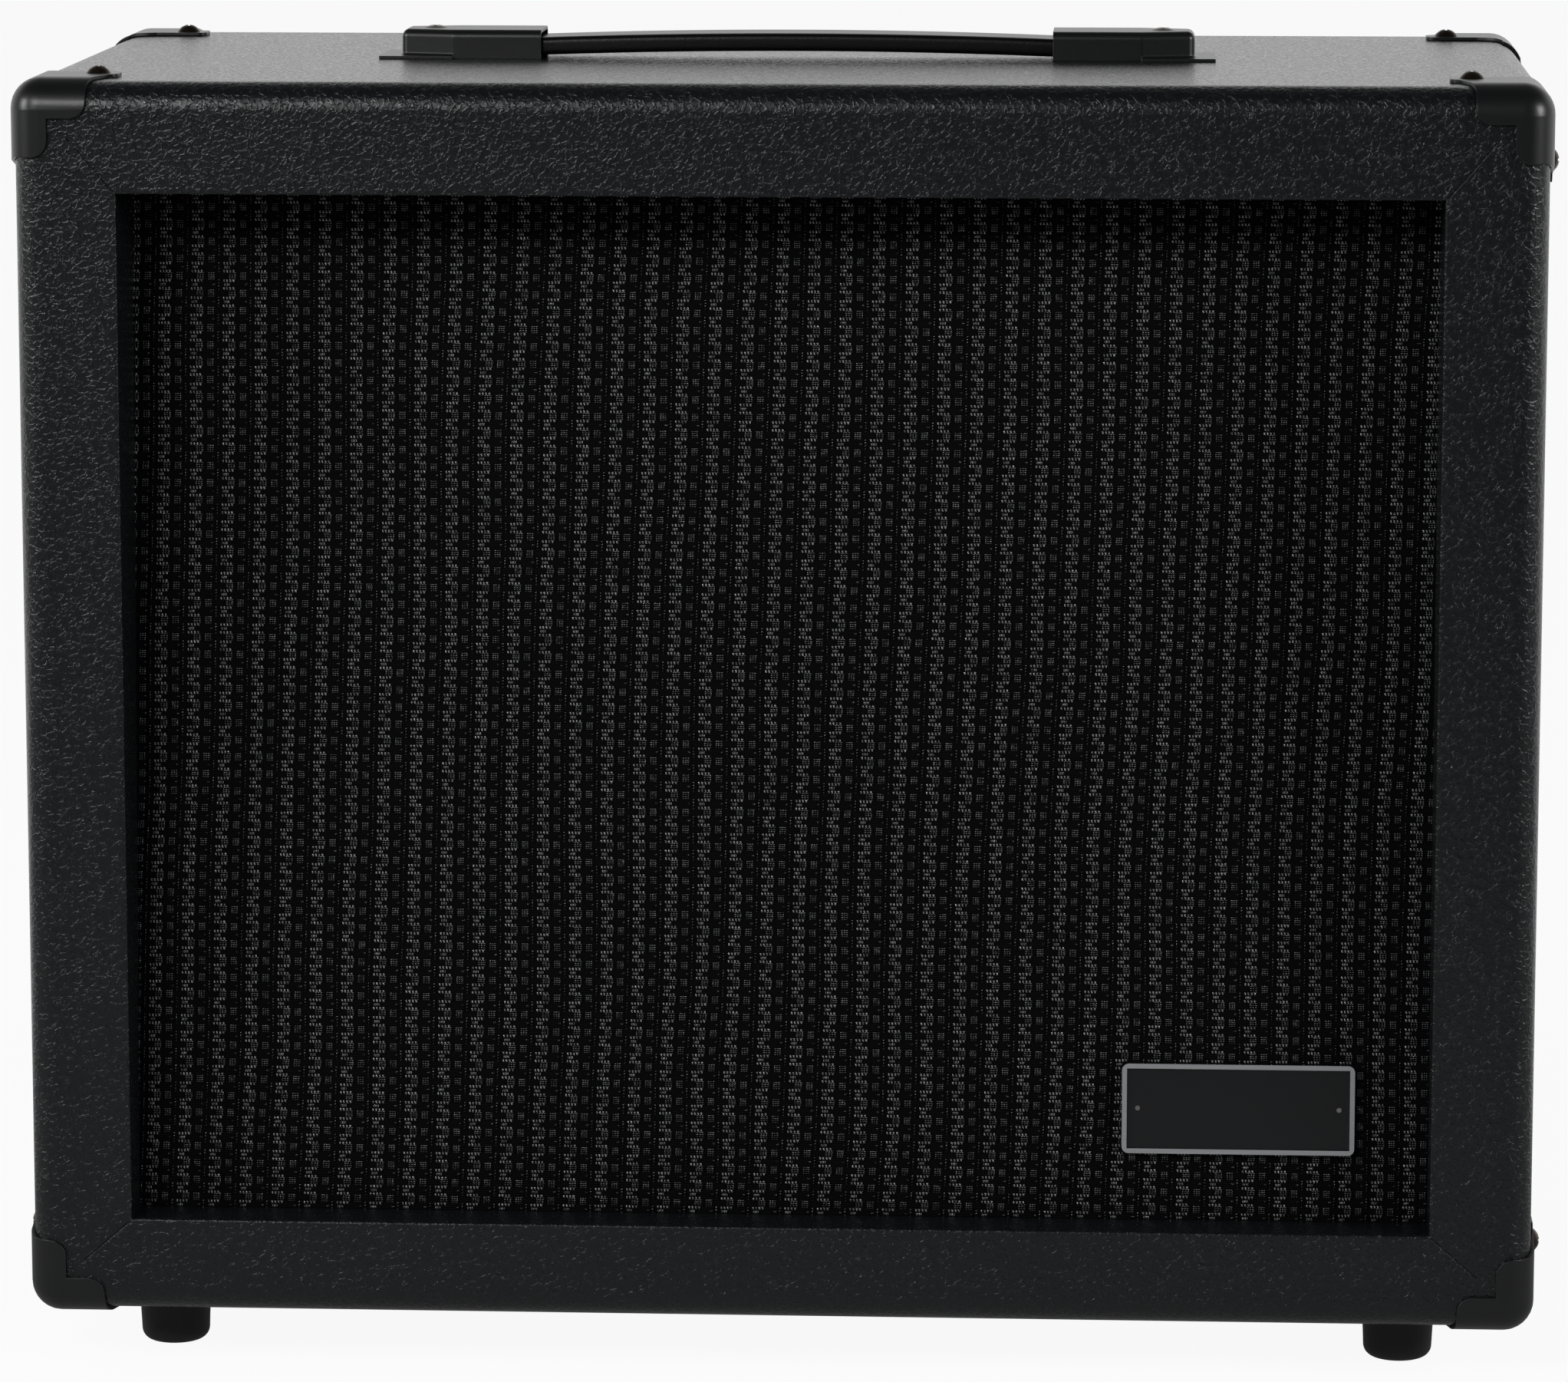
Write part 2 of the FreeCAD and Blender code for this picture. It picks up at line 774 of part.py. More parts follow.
# Surround: a single roll between the basket's rim and the cone's edge
rim_front = gasket - paper
roll_middle = (roll_outer_radius + cone_radius) / 2
lip_inner = cone_radius - cone_lip
crest = Vector(roll_middle, rim_front - surround_roll / 2, 0)
surround_face = closed_face(
    [
        line(Vector(surround_outer_radius, gasket, 0), Vector(surround_outer_radius, rim_front, 0)),
        line(
            Vector(surround_outer_radius, rim_front, 0),
            Vector(roll_outer_radius, rim_front, 0),
        ),
        arc(
            Vector(roll_outer_radius, rim_front, 0),
            crest,
            Vector(cone_radius, rim_front, 0),
        ),
        line(Vector(cone_radius, rim_front, 0), Vector(lip_inner, rim_front, 0)),
        line(Vector(lip_inner, rim_front, 0), Vector(lip_inner, gasket, 0)),
        line(Vector(lip_inner, gasket, 0), Vector(cone_radius + paper, gasket, 0)),
        arc(
            Vector(cone_radius + paper, gasket, 0),
            crest + Vector(0, 2 * paper, 0),
            Vector(roll_outer_radius - paper, gasket, 0),
        ),
        line(
            Vector(roll_outer_radius - paper, gasket, 0),
            Vector(surround_outer_radius, gasket, 0),
        ),
    ]
)
speaker_part("speaker_surround", surround_face.revolve(ORIGIN, Y_AXIS, 360))

# Cone, dust cap and voice coil: the pieces that travel together
spider_front = seat_front - spider_lift
cone_neck_depth = spider_front - cone_neck_gap
neck_radius = former_outer + glue_line
dust_cap_radius = neck_radius + dust_cap_margin
cone_front = gasket + glue_line
cone_slope = (cone_neck_depth - cone_front) / (lip_inner - neck_radius)
cone_shell = turned(
    [
        (cone_radius, cone_front),
        (cone_radius, cone_front + paper),
        (lip_inner - paper, cone_front + paper),
        (neck_radius, cone_neck_depth + paper),
        (neck_radius, cone_neck_depth - paper),
        (lip_inner, cone_front),
    ]
)
speaker_part("speaker_cone", cone_shell)
cap_seat = cone_front + cone_slope * (lip_inner - dust_cap_radius) - 2 * paper - glue_line
cap_ball = (dust_cap_radius**2 + dust_cap_height**2) / (2 * dust_cap_height)
cap_centre = cap_seat - dust_cap_height + cap_ball


def cap_point(ball, share):
    """Point on a ball about the dust cap's centre; share 1 is the cap's rim."""
    angle = share * math.asin(dust_cap_radius / cap_ball)
    return Vector(ball * math.sin(angle), cap_centre - ball * math.cos(angle), 0)


cap_inner = cap_ball - paper
dust_cap_face = closed_face(
    [
        arc(cap_point(cap_ball, 0), cap_point(cap_ball, 0.5), cap_point(cap_ball, 1)),
        line(cap_point(cap_ball, 1), cap_point(cap_inner, 1)),
        arc(cap_point(cap_inner, 1), cap_point(cap_inner, 0.5), cap_point(cap_inner, 0)),
        line(cap_point(cap_inner, 0), cap_point(cap_ball, 0)),
    ]
)
speaker_part("speaker_dust_cap", dust_cap_face.revolve(ORIGIN, Y_AXIS, 360))
plate_back = seat_back + top_plate
coil_middle = (seat_back + plate_back) / 2
coil_start = coil_middle - coil_length / 2
former_start = cone_neck_depth - former_lead
former_end = coil_start + coil_length + former_tail
former = turned(
    [
        (former_inner_radius, former_start),
        (former_outer, former_start),
        (former_outer, former_end),
        (former_inner_radius, former_end),
    ]
)
coil = turned(
    [
        (coil_inner, coil_start),
        (coil_outer, coil_start),
        (coil_outer, coil_start + coil_length),
        (coil_inner, coil_start + coil_length),
    ]
)
speaker_part("voice_coil_former", former)
speaker_part("voice_coil", coil)

# Spider: a cupped cloth disc that centres the coil
spider_inner = former_outer + glue_line
spider_rim_radius = basket_seat_radius - spider_rim_inset
spider_cup_radius = spider_rim_radius - spider_rim
spider = turned(
    [
        (spider_inner, spider_front),
        (spider_cup_radius, spider_front),
        (spider_cup_radius, seat_front - spider_cloth),
        (spider_rim_radius, seat_front - spider_cloth),
        (spider_rim_radius, seat_front),
        (spider_cup_radius - spider_cloth, seat_front),
        (spider_cup_radius - spider_cloth, spider_front + spider_cloth),
        (spider_inner, spider_front + spider_cloth),
    ]
)
speaker_part("speaker_spider", spider)

# Motor: top plate, ring magnet and yoke with its vented pole
plate_bore = coil_outer + air_gap
pole_radius = former_inner_radius - pole_gap
top_plate_radius = basket_seat_radius - top_plate_margin
magnet_radius = basket_seat_radius + magnet_margin
magnet_inner_radius = plate_bore + magnet_hole_margin
magnet_back = plate_back + magnet
yoke_back = magnet_back + yoke_plate
top_plate_ring = turned(
    [
        (plate_bore, seat_back),
        (top_plate_radius, seat_back),
        (top_plate_radius, plate_back),
        (plate_bore, plate_back),
    ]
)
magnet_ring = turned(
    [
        (magnet_inner_radius, plate_back),
        (magnet_radius, plate_back),
        (magnet_radius, magnet_back),
        (magnet_inner_radius, magnet_back),
    ]
)
yoke = turned(
    [
        (pole_vent_radius, seat_back),
        (pole_radius, seat_back),
        (pole_radius, magnet_back),
        (top_plate_radius, magnet_back),
        (top_plate_radius, yoke_back),
        (pole_vent_radius, yoke_back),
    ]
)
speaker_part("magnet_top_plate", top_plate_ring)
speaker_part("magnet_ring", magnet_ring)
speaker_part("magnet_yoke", yoke)

# Terminal board on the lowest basket arm, with two brass tags
terminal_radius = basket_mouth_radius - terminal_inset
terminal_width = tag_spacing + terminal_width_beyond_tags
arm_slope = (seat_back - wall_back) / (basket_mouth_radius - basket_seat_radius)
arm_back = wall_back + (basket_mouth_radius - terminal_radius) * arm_slope
terminal_back = arm_back + terminal_length / 2
terminal_board = box(
    -terminal_width / 2,
    terminal_width / 2,
    arm_back - terminal_length / 2,
    terminal_back,
    -terminal_radius - terminal_thickness,
    -terminal_radius,
).cut(basket_filled)
tags = []
for side in (-1, 1):
    tag_x = side * tag_spacing / 2
    tags.append(
        box(
            tag_x - tag_width / 2,
            tag_x + tag_width / 2,
            terminal_back,
            terminal_back + tag_length,
            -terminal_radius - (terminal_thickness + tag_thickness) / 2,
            -terminal_radius - (terminal_thickness - tag_thickness) / 2,
        )
    )
speaker_part("terminal_board", terminal_board)
speaker_part("terminal_tags", *tags)

# Back panel on four cleats
panel_face = back - back_recess
panel_inside = panel_face - back_board
cleat_y = (panel_inside - cleat, panel_inside)
upright_z = (inner_bottom + cleat, inner_top - cleat)
cleats = [
    box(-inner_half, inner_half, *cleat_y, inner_top - cleat, inner_top),
    box(-inner_half, inner_half, *cleat_y, inner_bottom, inner_bottom + cleat),
    box(-inner_half, -inner_half + cleat, *cleat_y, *upright_z),
    box(inner_half - cleat, inner_half, *cleat_y, *upright_z),
]
cleat_middle = inner_half - cleat / 2
back_screw_places = []
for x in spread(back_screw_count_across, cleat_middle - cleat):
    for z in (inner_top - cleat / 2, inner_bottom + cleat / 2):
        back_screw_places.append(along(Y_AXIS, Vector(x, panel_face, z)))
for z in spread(back_screw_count_up, (inner_top - inner_bottom) / 2 - back_screw_end_inset):
    for x in (-cleat_middle, cleat_middle):
        back_screw_places.append(along(Y_AXIS, Vector(x, panel_face, middle_height + z)))
back_drill = Part.makeCompound(
    [hole(p, wood_screw_radius + screw_clearance, beyond, back_screw_length) for p in back_screw_places]
)
jack_z = bottom + jack_above_bottom
jack_place = Placement(Vector(0, panel_face, jack_z), Rotation())
jack_screw_places = []
jack_screw_span = jack_plate_size / 2 - jack_screw_inset
for x in spread(2, jack_screw_span):
    for z in spread(2, jack_screw_span):
        jack_screw_places.append(along(Y_AXIS, Vector(x, panel_face + jack_plate, jack_z + z)))
jack_drill = Part.makeCompound(
    [hole(p, wood_screw_radius + screw_clearance, beyond, jack_screw_length) for p in jack_screw_places]
)
back_panel = box(
    -back_hole_half + back_gap,
    back_hole_half - back_gap,
    panel_inside,
    panel_face,
    inner_bottom + vinyl + back_gap,
    inner_top - vinyl - back_gap,
)
jack_axis = Vector(0, panel_face, jack_z)
jack_hole = rod(jack_hole_radius, jack_axis - Y_AXIS * wall, jack_axis + Y_AXIS * beyond)
keep("back_panel", back_panel.cut(jack_hole).cut(back_drill).cut(jack_drill))
keep("back_cleats", *[piece.cut(back_drill) for piece in cleats])
back_screw = dome_screw(wood_screw_radius, back_screw_length, dome_radius, dome_height)
keep("back_panel_screws", *[placed(back_screw, p) for p in back_screw_places])

# Jack plate over the hole in the back panel
half_plate = jack_plate_size / 2
plate = box(-half_plate, half_plate, 0, jack_plate, -half_plate, half_plate)
plate_corners = [e for e in plate.Edges if abs(e.tangentAt(0).y) > touching]
plate = plate.makeFillet(jack_plate_corner, plate_corners)
sleeve_hole = jack_sleeve_radius + screw_clearance
plate = plate.cut(rod(sleeve_hole, -Y_AXIS * beyond, Y_AXIS * beyond))
keep("jack_plate", placed(plate, jack_place).cut(jack_drill))
jack_screw = dome_screw(wood_screw_radius, jack_screw_length, dome_radius, dome_height)
keep("jack_plate_screws", *[placed(jack_screw, p) for p in jack_screw_places])

# Open-frame jack: a threaded sleeve and bent frame, insulator and tip spring
half_frame = jack_frame_size / 2
arm_top = -half_frame + jack_frame
sleeve = rod(jack_sleeve_radius, -Y_AXIS * jack_frame, Y_AXIS * (jack_sleeve_length - jack_frame))
frame_plate = box(-half_frame, half_frame, -jack_frame, 0, -half_frame, half_frame)
frame_arm = box(
    -jack_arm_width / 2, jack_arm_width / 2, -jack_arm_length, -jack_frame, -half_frame, arm_top
)
jack_body = sleeve.fuse([frame_plate, frame_arm])
jack_body = jack_body.cut(rod(jack_bore_radius, -Y_AXIS * jack_frame, Y_AXIS * jack_sleeve_length))
nut_place = Placement(Y_AXIS * jack_plate, Rotation(Z_AXIS, Y_AXIS))
nut_corner = jack_nut_across / math.sqrt(3)
jack_hex = hex_bolt(sleeve_hole, jack_nut, nut_corner, jack_nut)
jack_hex = placed(jack_hex, nut_place).cut(rod(sleeve_hole, -Y_AXIS * wall, Y_AXIS * wall))
insulator_end = -jack_frame - insulator_start - insulator_length
insulator = box(
    -jack_arm_width / 2,
    jack_arm_width / 2,
    insulator_end,
    insulator_end + insulator_length,
    arm_top,
    arm_top + insulator_height,
)
root_y = insulator_end - spring_gap
root_z = arm_top + insulator_height - spring_thickness
bend_y = root_y - spring_straight
tip_y = root_y - spring_tip
spring_outline = [
    (root_y, root_z),
    (bend_y, root_z),
    (tip_y, -spring_tip_height - spring_thickness),
    (root_y - spring_length, root_z),
    (root_y - spring_length, root_z + spring_thickness),
    (tip_y, -spring_tip_height),
    (bend_y, root_z + spring_thickness),
    (root_y, root_z + spring_thickness),
]
spring = face_of([Vector(-spring_width / 2, y, z) for y, z in spring_outline])
spring = spring.extrude(Vector(spring_width, 0, 0))
lug_start = Vector(jack_arm_width / 2, insulator_end, arm_top)
hot_lug = Part.makeBox(lug_length, lug_width, lug_thickness, lug_start)
earth_lug = Part.makeBox(
    lug_length,
    lug_width,
    lug_thickness,
    Vector(-jack_arm_width / 2 - lug_length, insulator_end, arm_top - lug_thickness),
)
keep("jack_frame", placed(jack_body.removeSplitter(), jack_place))
keep("jack_nut", placed(jack_hex, jack_place))
keep("jack_insulator", placed(insulator, jack_place))
keep("jack_lugs", placed(hot_lug, jack_place), placed(earth_lug, jack_place))
keep("jack_tip_spring", placed(spring, jack_place))


def tube(points, radius):
    """Round lead along straight runs joined by tangent arcs; returns it with its bend radii."""
    edges = []
    radii = []
    start = points[0]
    for before, at, after in zip(points, points[1:], points[2:]):
        come = (at - before).normalize()
        go = (after - at).normalize()
        half = come.getAngle(go) / 2
        setback = arc_share * min((at - before).Length, (after - at).Length)
        radii.append(setback / math.tan(half))
        enter = at - come * setback
        leave = at + go * setback
        inward = (go - come).normalize()
        depth = radii[-1] / math.cos(half) - radii[-1]
        edges.append(line(start, enter))
        edges.append(arc(enter, at + inward * depth, leave))
        start = leave
    edges.append(line(start, points[-1]))
    path = Part.Wire(edges)
    ring = Part.Wire(Part.makeCircle(radius, points[0], points[1] - points[0]))
    swept = path.makePipeShell([ring], True, False)
    print("tube volume against section times length:", swept.Volume, math.pi * radius**2 * path.Length)
    print("tube length and bend radii:", path.Length, [round(r, 1) for r in radii])
    return swept


# Leads: down from the speaker's tags, through a clip on the bottom board, up to the jack
tag_end = Vector(0, terminal_back + tag_length, -terminal_radius - terminal_thickness / 2)
tag_end = speaker_place.multVec(tag_end) + Y_AXIS * glue_line
lug = Vector(0, panel_face + insulator_end, jack_z + arm_top)
clip = Vector(0, lead_clip_y, inner_bottom + lead_height_in_clip)
lead_route = [
    tag_end,
    tag_end + Vector(0, 18, -2.5),
    tag_end + Vector(0, 31, -24),
    tag_end + Vector(0, 35, -50),
    clip + Vector(0, -32, 15),
    clip + Vector(0, -18, 0),
    clip + Vector(0, 18, 0),
    clip + Vector(0, 32, 15),
    lug + Vector(0, -36, -36),
    lug + Vector(0, -30, -12),
    lug + Vector(0, -16, 0),
    lug,
]
leads = []
lead_clip_width = tag_spacing + lead_clip_beyond_leads
lead_clip = box(
    -lead_clip_width / 2,
    lead_clip_width / 2,
    lead_clip_y - lead_clip_length / 2,
    lead_clip_y + lead_clip_length / 2,
    inner_bottom,
    inner_bottom + lead_clip_height,
).cut(clip_pilot)
for side in (-1, 1):
    shift = X_AXIS * (side * tag_spacing / 2)
    leads.append(tube([point + shift for point in lead_route], lead_radius))
    channel = clip + shift
    lead_clip = lead_clip.cut(
        rod(lead_radius + lead_clearance, channel - Y_AXIS * wall, channel + Y_AXIS * wall)
    )
clip_screw = dome_screw(wood_screw_radius, wood_screw_length, dome_radius, dome_height)
keep("speaker_leads", *leads)
keep("lead_clip", lead_clip)
keep("lead_clip_screw", placed(clip_screw, clip_screw_place))

# Corner protectors: one is formed over the left, front, top corner and mirrored to the rest
vertex = Vector(-half_width, front, top)
outer_grow = corner_gap + corner_sheet
corner_block = box(
    -half_width - beyond,
    -half_width + corner_edge_run + beyond,
    front - beyond,
    front + corner_edge_run + beyond,
    top - corner_edge_run - beyond,
    top + beyond,
)
formed = rounded_box(outer_grow, edge_radius + outer_grow).common(corner_block)
formed = formed.cut(rounded_box(corner_gap, edge_radius + corner_gap))


def corner_cutter(outline, u, v, w, reach):
    """Prism over an outline of (u, v) edges, from outside the corner to a reach along w."""
    edges = []
    for points in outline:
        spots = [vertex + u * a + v * b - w * beyond for a, b in points]
        edges.append(line(*spots) if len(spots) == 2 else arc(*spots))
    return closed_face(edges).extrude(w * (beyond + reach))


def rounded_turn(corner, before, after, radius):
    """Start, middle and end of an arc that rounds a corner between two unit directions."""
    start = (corner[0] - before[0] * radius, corner[1] - before[1] * radius)
    end = (corner[0] + after[0] * radius, corner[1] + after[1] * radius)
    centre = (start[0] + after[0] * radius, start[1] + after[1] * radius)
    pull = math.sqrt(0.5) * radius
    middle = (centre[0] + (before[0] - after[0]) * pull, centre[1] + (before[1] - after[1]) * pull)
    return start, middle, end


out = -beyond
lip_right = rounded_turn((corner_lip_length, corner_lip_width), (0, 1), (-1, 0), corner_lip_round)
lip_low = rounded_turn((corner_lip_width, corner_lip_length), (0, 1), (-1, 0), corner_lip_round)
lip_outline = [
    [(out, out), (corner_lip_length, out)],
    [(corner_lip_length, out), lip_right[0]],
    lip_right,
    [lip_right[2], (corner_lip_width, corner_lip_width)],
    [(corner_lip_width, corner_lip_width), lip_low[0]],
    lip_low,
    [lip_low[2], (out, corner_lip_length)],
    [(out, corner_lip_length), (out, out)],
]
tip_front = rounded_turn((corner_tab_reach, corner_tab_front), (1, 0), (0, 1), corner_tab_round)
tip_back = rounded_turn((corner_tab_reach, corner_tab_back), (0, 1), (-1, 0), corner_tab_round)
neck = (corner_neck, corner_neck_back)
run_end = (corner_edge_half, corner_edge_run)
hollow = (corner_edge_half + corner_hollow, corner_neck_back + corner_hollow)
tab_outline = [
    [(out, out), (corner_lip_length, out)],
    [(corner_lip_length, out), (corner_lip_length, corner_tab_shoulder)],
    [(corner_lip_length, corner_tab_shoulder), tip_front[0]],
    tip_front,
    [tip_front[2], tip_back[0]],
    tip_back,
    [tip_back[2], neck],
    [neck, hollow, run_end],
    [run_end, (out, corner_edge_run)],
    [(out, corner_edge_run), (out, out)],
]
inward = Vector(1, 0, 0)
backward = Vector(0, 1, 0)
downward = Vector(0, 0, -1)
corner_cut = corner_cutter(lip_outline, inward, downward, backward, corner_wrap).fuse(
    [
        corner_cutter(tab_outline, inward, backward, downward, corner_wrap),
        corner_cutter(tab_outline, downward, backward, inward, corner_wrap),
    ]
)
protector = formed.common(corner_cut).removeSplitter()
tab_hole = vertex + inward * corner_screw_in + backward * corner_screw_back
side_hole = vertex + downward * corner_screw_in + backward * corner_screw_back
hole_radius = wood_screw_radius + screw_clearance
protector = protector.cut(rod(hole_radius, tab_hole - downward * beyond, tab_hole + downward * beyond))
protector = protector.cut(rod(hole_radius, side_hole - inward * beyond, side_hole + inward * beyond))
for flip_y, name in ((False, "front"), (True, "rear")):
    pieces = []
    for flip_x in (False, True):
        for flip_z in (False, True):
            pieces.append(mirrored(protector, flip_x, flip_y, flip_z))
    keep("corner_protectors_" + name, *pieces)
corner_screw = dome_screw(wood_screw_radius, wood_screw_length, dome_radius, dome_height)
keep("corner_screws", *[placed(corner_screw, p) for p in corner_screw_places])

# Handle caps: a formed housing, tapered towards its outer end, on a flat flange
mouth = handle_half - cap_flange_lip - cap_housing_length
taper = mouth + cap_housing_length - cap_taper_length
housing_end = mouth + cap_housing_length


def cap_form(start, inset, base):
    """Housing inset by a wall: straight, then tapered in plan, with rounded crown and corners."""
    half = cap_width / 2 - inset
    end_half = cap_end_width / 2 - inset
    end = housing_end - inset
    crown = top + cap_height - inset
    points = [(start, -half), (taper, -half), (end, -end_half)]
    points += [(end, end_half), (taper, half), (start, half)]
    form = face_of([Vector(x, y, base) for x, y in points]).extrude(Vector(0, 0, crown - base))
    rounded = []
    for edge in form.Edges:
        ends = [v.Point for v in edge.Vertexes]
        on_crown = all(abs(p.z - crown) < touching for p in ends)
        at_mouth = all(abs(p.x - start) < touching for p in ends)
        upright = abs(ends[0].z - ends[1].z) > touching
        if (on_crown or upright) and not at_mouth:
            rounded.append(edge)
    return form.makeFillet(cap_round - inset, rounded)


flange_half = cap_width / 2 + cap_flange_beside
cap_foot = box(taper, handle_half, -flange_half, flange_half, top, top + cap_sheet)
cap = cap_form(mouth, 0, top).fuse(cap_foot).removeSplitter()
foot_edges = []
for edge in cap.Edges:
    ends = [v.Point for v in edge.Vertexes]
    on_foot = all(abs(p.z - top - cap_sheet) < touching for p in ends)
    inside_rim = all(abs(p.y) < cap_width / 2 + touching and p.x < handle_half - touching for p in ends)
    past_taper = all(p.x > taper - touching for p in ends) and any(p.x > taper + touching for p in ends)
    if on_foot and inside_rim and past_taper:
        foot_edges.append(edge)
cap = cap.makeFillet(cap_foot_round, foot_edges)
cap = cap.cut(cap_form(mouth - beyond, cap_sheet, top - beyond))
cap = cap.cut(hole(handle_bolt_places[1], handle_bolt_radius + screw_clearance, beyond, cap_height))
keep("handle_cap_right", cap)
keep("handle_cap_left", mirrored(cap, True, False, False))
handle_bolt_length = cap_height + wall
handle_bolt = dome_screw(
    handle_bolt_radius, handle_bolt_length, handle_bolt_head_radius, handle_bolt_head
)
keep("handle_bolts", *[placed(handle_bolt, p) for p in handle_bolt_places])
handle_nut = tee_nut_for(handle_bolt_radius)
handle_nuts = []
for side in (-1, 1):
    nut_seat = Vector(side * handle_bolt_x, 0, inner_top)
    handle_nuts.append(placed(handle_nut, along(-Z_AXIS, nut_seat)))
keep("handle_tee_nuts", *handle_nuts)

# Strap: bowed between the caps, with straight ends that slide round the bolts
strap_half = handle_half - strap_end_gap
bow_half = strap_half - strap_straight_end
low = top + strap_seat_gap
high = low + strap_thickness
strap_face = closed_face(
    [
        line(Vector(-strap_half, 0, low), Vector(-bow_half, 0, low)),
        arc(Vector(-bow_half, 0, low), Vector(0, 0, low + strap_bow), Vector(bow_half, 0, low)),
        line(Vector(bow_half, 0, low), Vector(strap_half, 0, low)),
        line(Vector(strap_half, 0, low), Vector(strap_half, 0, high)),
        line(Vector(strap_half, 0, high), Vector(bow_half, 0, high)),
        arc(Vector(bow_half, 0, high), Vector(0, 0, high + strap_bow), Vector(-bow_half, 0, high)),
        line(Vector(-bow_half, 0, high), Vector(-strap_half, 0, high)),
        line(Vector(-strap_half, 0, high), Vector(-strap_half, 0, low)),
    ]
)
strap_face.translate(Y_AXIS * (-strap_width / 2))
strap = strap_face.extrude(Y_AXIS * strap_width)
grip_half = grip_length / 2
reach_up = top + strap_bow + cap_height
strap_long_edges = []
for edge in strap.Edges:
    ends = [v.Point for v in edge.Vertexes]
    if abs(ends[0].x - ends[1].x) > touching:
        strap_long_edges.append(edge)
strap = strap.makeFillet(strap_round, strap_long_edges)
slot_half = handle_bolt_radius + strap_slot_gap
tongue_half = cap_end_width / 2 - cap_sheet - strap_tongue_side_gap
for place in handle_bolt_places:
    bolt_x = place.Base.x
    slot = box(
        bolt_x - slot_half - strap_slide,
        bolt_x + slot_half + strap_slide,
        -slot_half,
        slot_half,
        top,
        reach_up,
    )
    strap = strap.cut(slot)
    tongue_x = math.copysign(taper - strap_tongue_lead, bolt_x)
    beside_x = sorted((tongue_x, math.copysign(handle_half, bolt_x)))
    for side in (-1, 1):
        beside_y = sorted((side * tongue_half, side * strap_width))
        strap = strap.cut(box(*beside_x, *beside_y, top, reach_up))
keep("strap_grip", strap.common(box(-grip_half, grip_half, -strap_width, strap_width, top, reach_up)))
for side, name in ((-1, "left"), (1, "right")):
    ends = sorted((side * grip_half, side * handle_half))
    keep("strap_end_" + name, strap.common(box(*ends, -strap_width, strap_width, top, reach_up)))

# Rubber feet, each with a washer and a screw up into the bottom board
foot_low = foot_bottom_radius - foot_round
foot_bore_radius = washer_radius + foot_bore_gap
bulge = foot_round * math.sqrt(0.5)
screw_bore = foot_screw_radius + screw_clearance


def foot_point(radius, height):
    return Vector(radius, 0, height)


foot_face = closed_face(
    [
        line(foot_point(screw_bore, foot_height), foot_point(foot_top_radius, foot_height)),
        line(foot_point(foot_top_radius, foot_height), foot_point(foot_bottom_radius, foot_round)),
        arc(
            foot_point(foot_bottom_radius, foot_round),
            foot_point(foot_low + bulge, foot_round - bulge),
            foot_point(foot_low, 0),
        ),
        line(foot_point(foot_low, 0), foot_point(foot_bore_radius, 0)),
        line(foot_point(foot_bore_radius, 0), foot_point(foot_bore_radius, foot_bore_depth)),
        line(foot_point(foot_bore_radius, foot_bore_depth), foot_point(screw_bore, foot_bore_depth)),
        line(foot_point(screw_bore, foot_bore_depth), foot_point(screw_bore, foot_height)),
    ]
)
foot_shape = foot_face.revolve(ORIGIN, Z_AXIS, 360)
washer_shape = Part.makeCylinder(washer_radius, washer, Vector(0, 0, foot_screw_seat))
washer_shape = washer_shape.cut(rod(screw_bore, ORIGIN, Z_AXIS * foot_height))
foot_screw_length = foot_height + vinyl + foot_screw_bite - foot_screw_seat
foot_screw = dome_screw(foot_screw_radius, foot_screw_length, foot_screw_head_radius, foot_screw_head)
foot_screw = placed(foot_screw, along(-Z_AXIS, Z_AXIS * foot_screw_seat))
foot_pieces = (("rubber_feet", foot_shape), ("foot_washers", washer_shape), ("foot_screws", foot_screw))
for name, shape in foot_pieces:
    keep(name, *[placed(shape, Placement(foot, Rotation())) for foot in foot_places])

# One file for each node
os.makedirs("parts", exist_ok=True)
for name, shapes in nodes.items():
    solids = [solid for shape in shapes for solid in shape.Solids]
    whole = solids[0] if len(solids) == 1 else Part.makeCompound(solids)
    whole.exportStep("parts/" + name + ".step")
print("nodes:", len(nodes))
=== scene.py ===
import math

import bpy
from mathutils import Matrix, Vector


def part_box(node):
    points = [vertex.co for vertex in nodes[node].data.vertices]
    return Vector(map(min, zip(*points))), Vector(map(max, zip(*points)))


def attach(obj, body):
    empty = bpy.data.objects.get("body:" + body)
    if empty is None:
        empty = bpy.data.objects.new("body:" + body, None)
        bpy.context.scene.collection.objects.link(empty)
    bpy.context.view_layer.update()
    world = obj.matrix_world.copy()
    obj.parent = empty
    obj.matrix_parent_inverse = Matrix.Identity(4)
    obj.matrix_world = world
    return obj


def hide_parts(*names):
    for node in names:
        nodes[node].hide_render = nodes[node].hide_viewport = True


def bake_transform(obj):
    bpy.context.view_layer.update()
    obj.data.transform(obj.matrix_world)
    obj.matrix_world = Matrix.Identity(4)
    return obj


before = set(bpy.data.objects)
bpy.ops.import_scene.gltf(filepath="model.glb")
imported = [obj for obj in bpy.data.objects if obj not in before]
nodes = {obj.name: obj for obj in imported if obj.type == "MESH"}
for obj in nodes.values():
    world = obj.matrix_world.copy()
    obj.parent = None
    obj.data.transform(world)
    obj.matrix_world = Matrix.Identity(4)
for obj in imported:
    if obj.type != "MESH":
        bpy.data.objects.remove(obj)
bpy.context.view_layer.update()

# Shell boards, front rails, cleats and grille strips: birch plywood, sawn and glued with finger joints
# at the corners. They lie under the covering, so only the length of the grain and its pores are drawn.


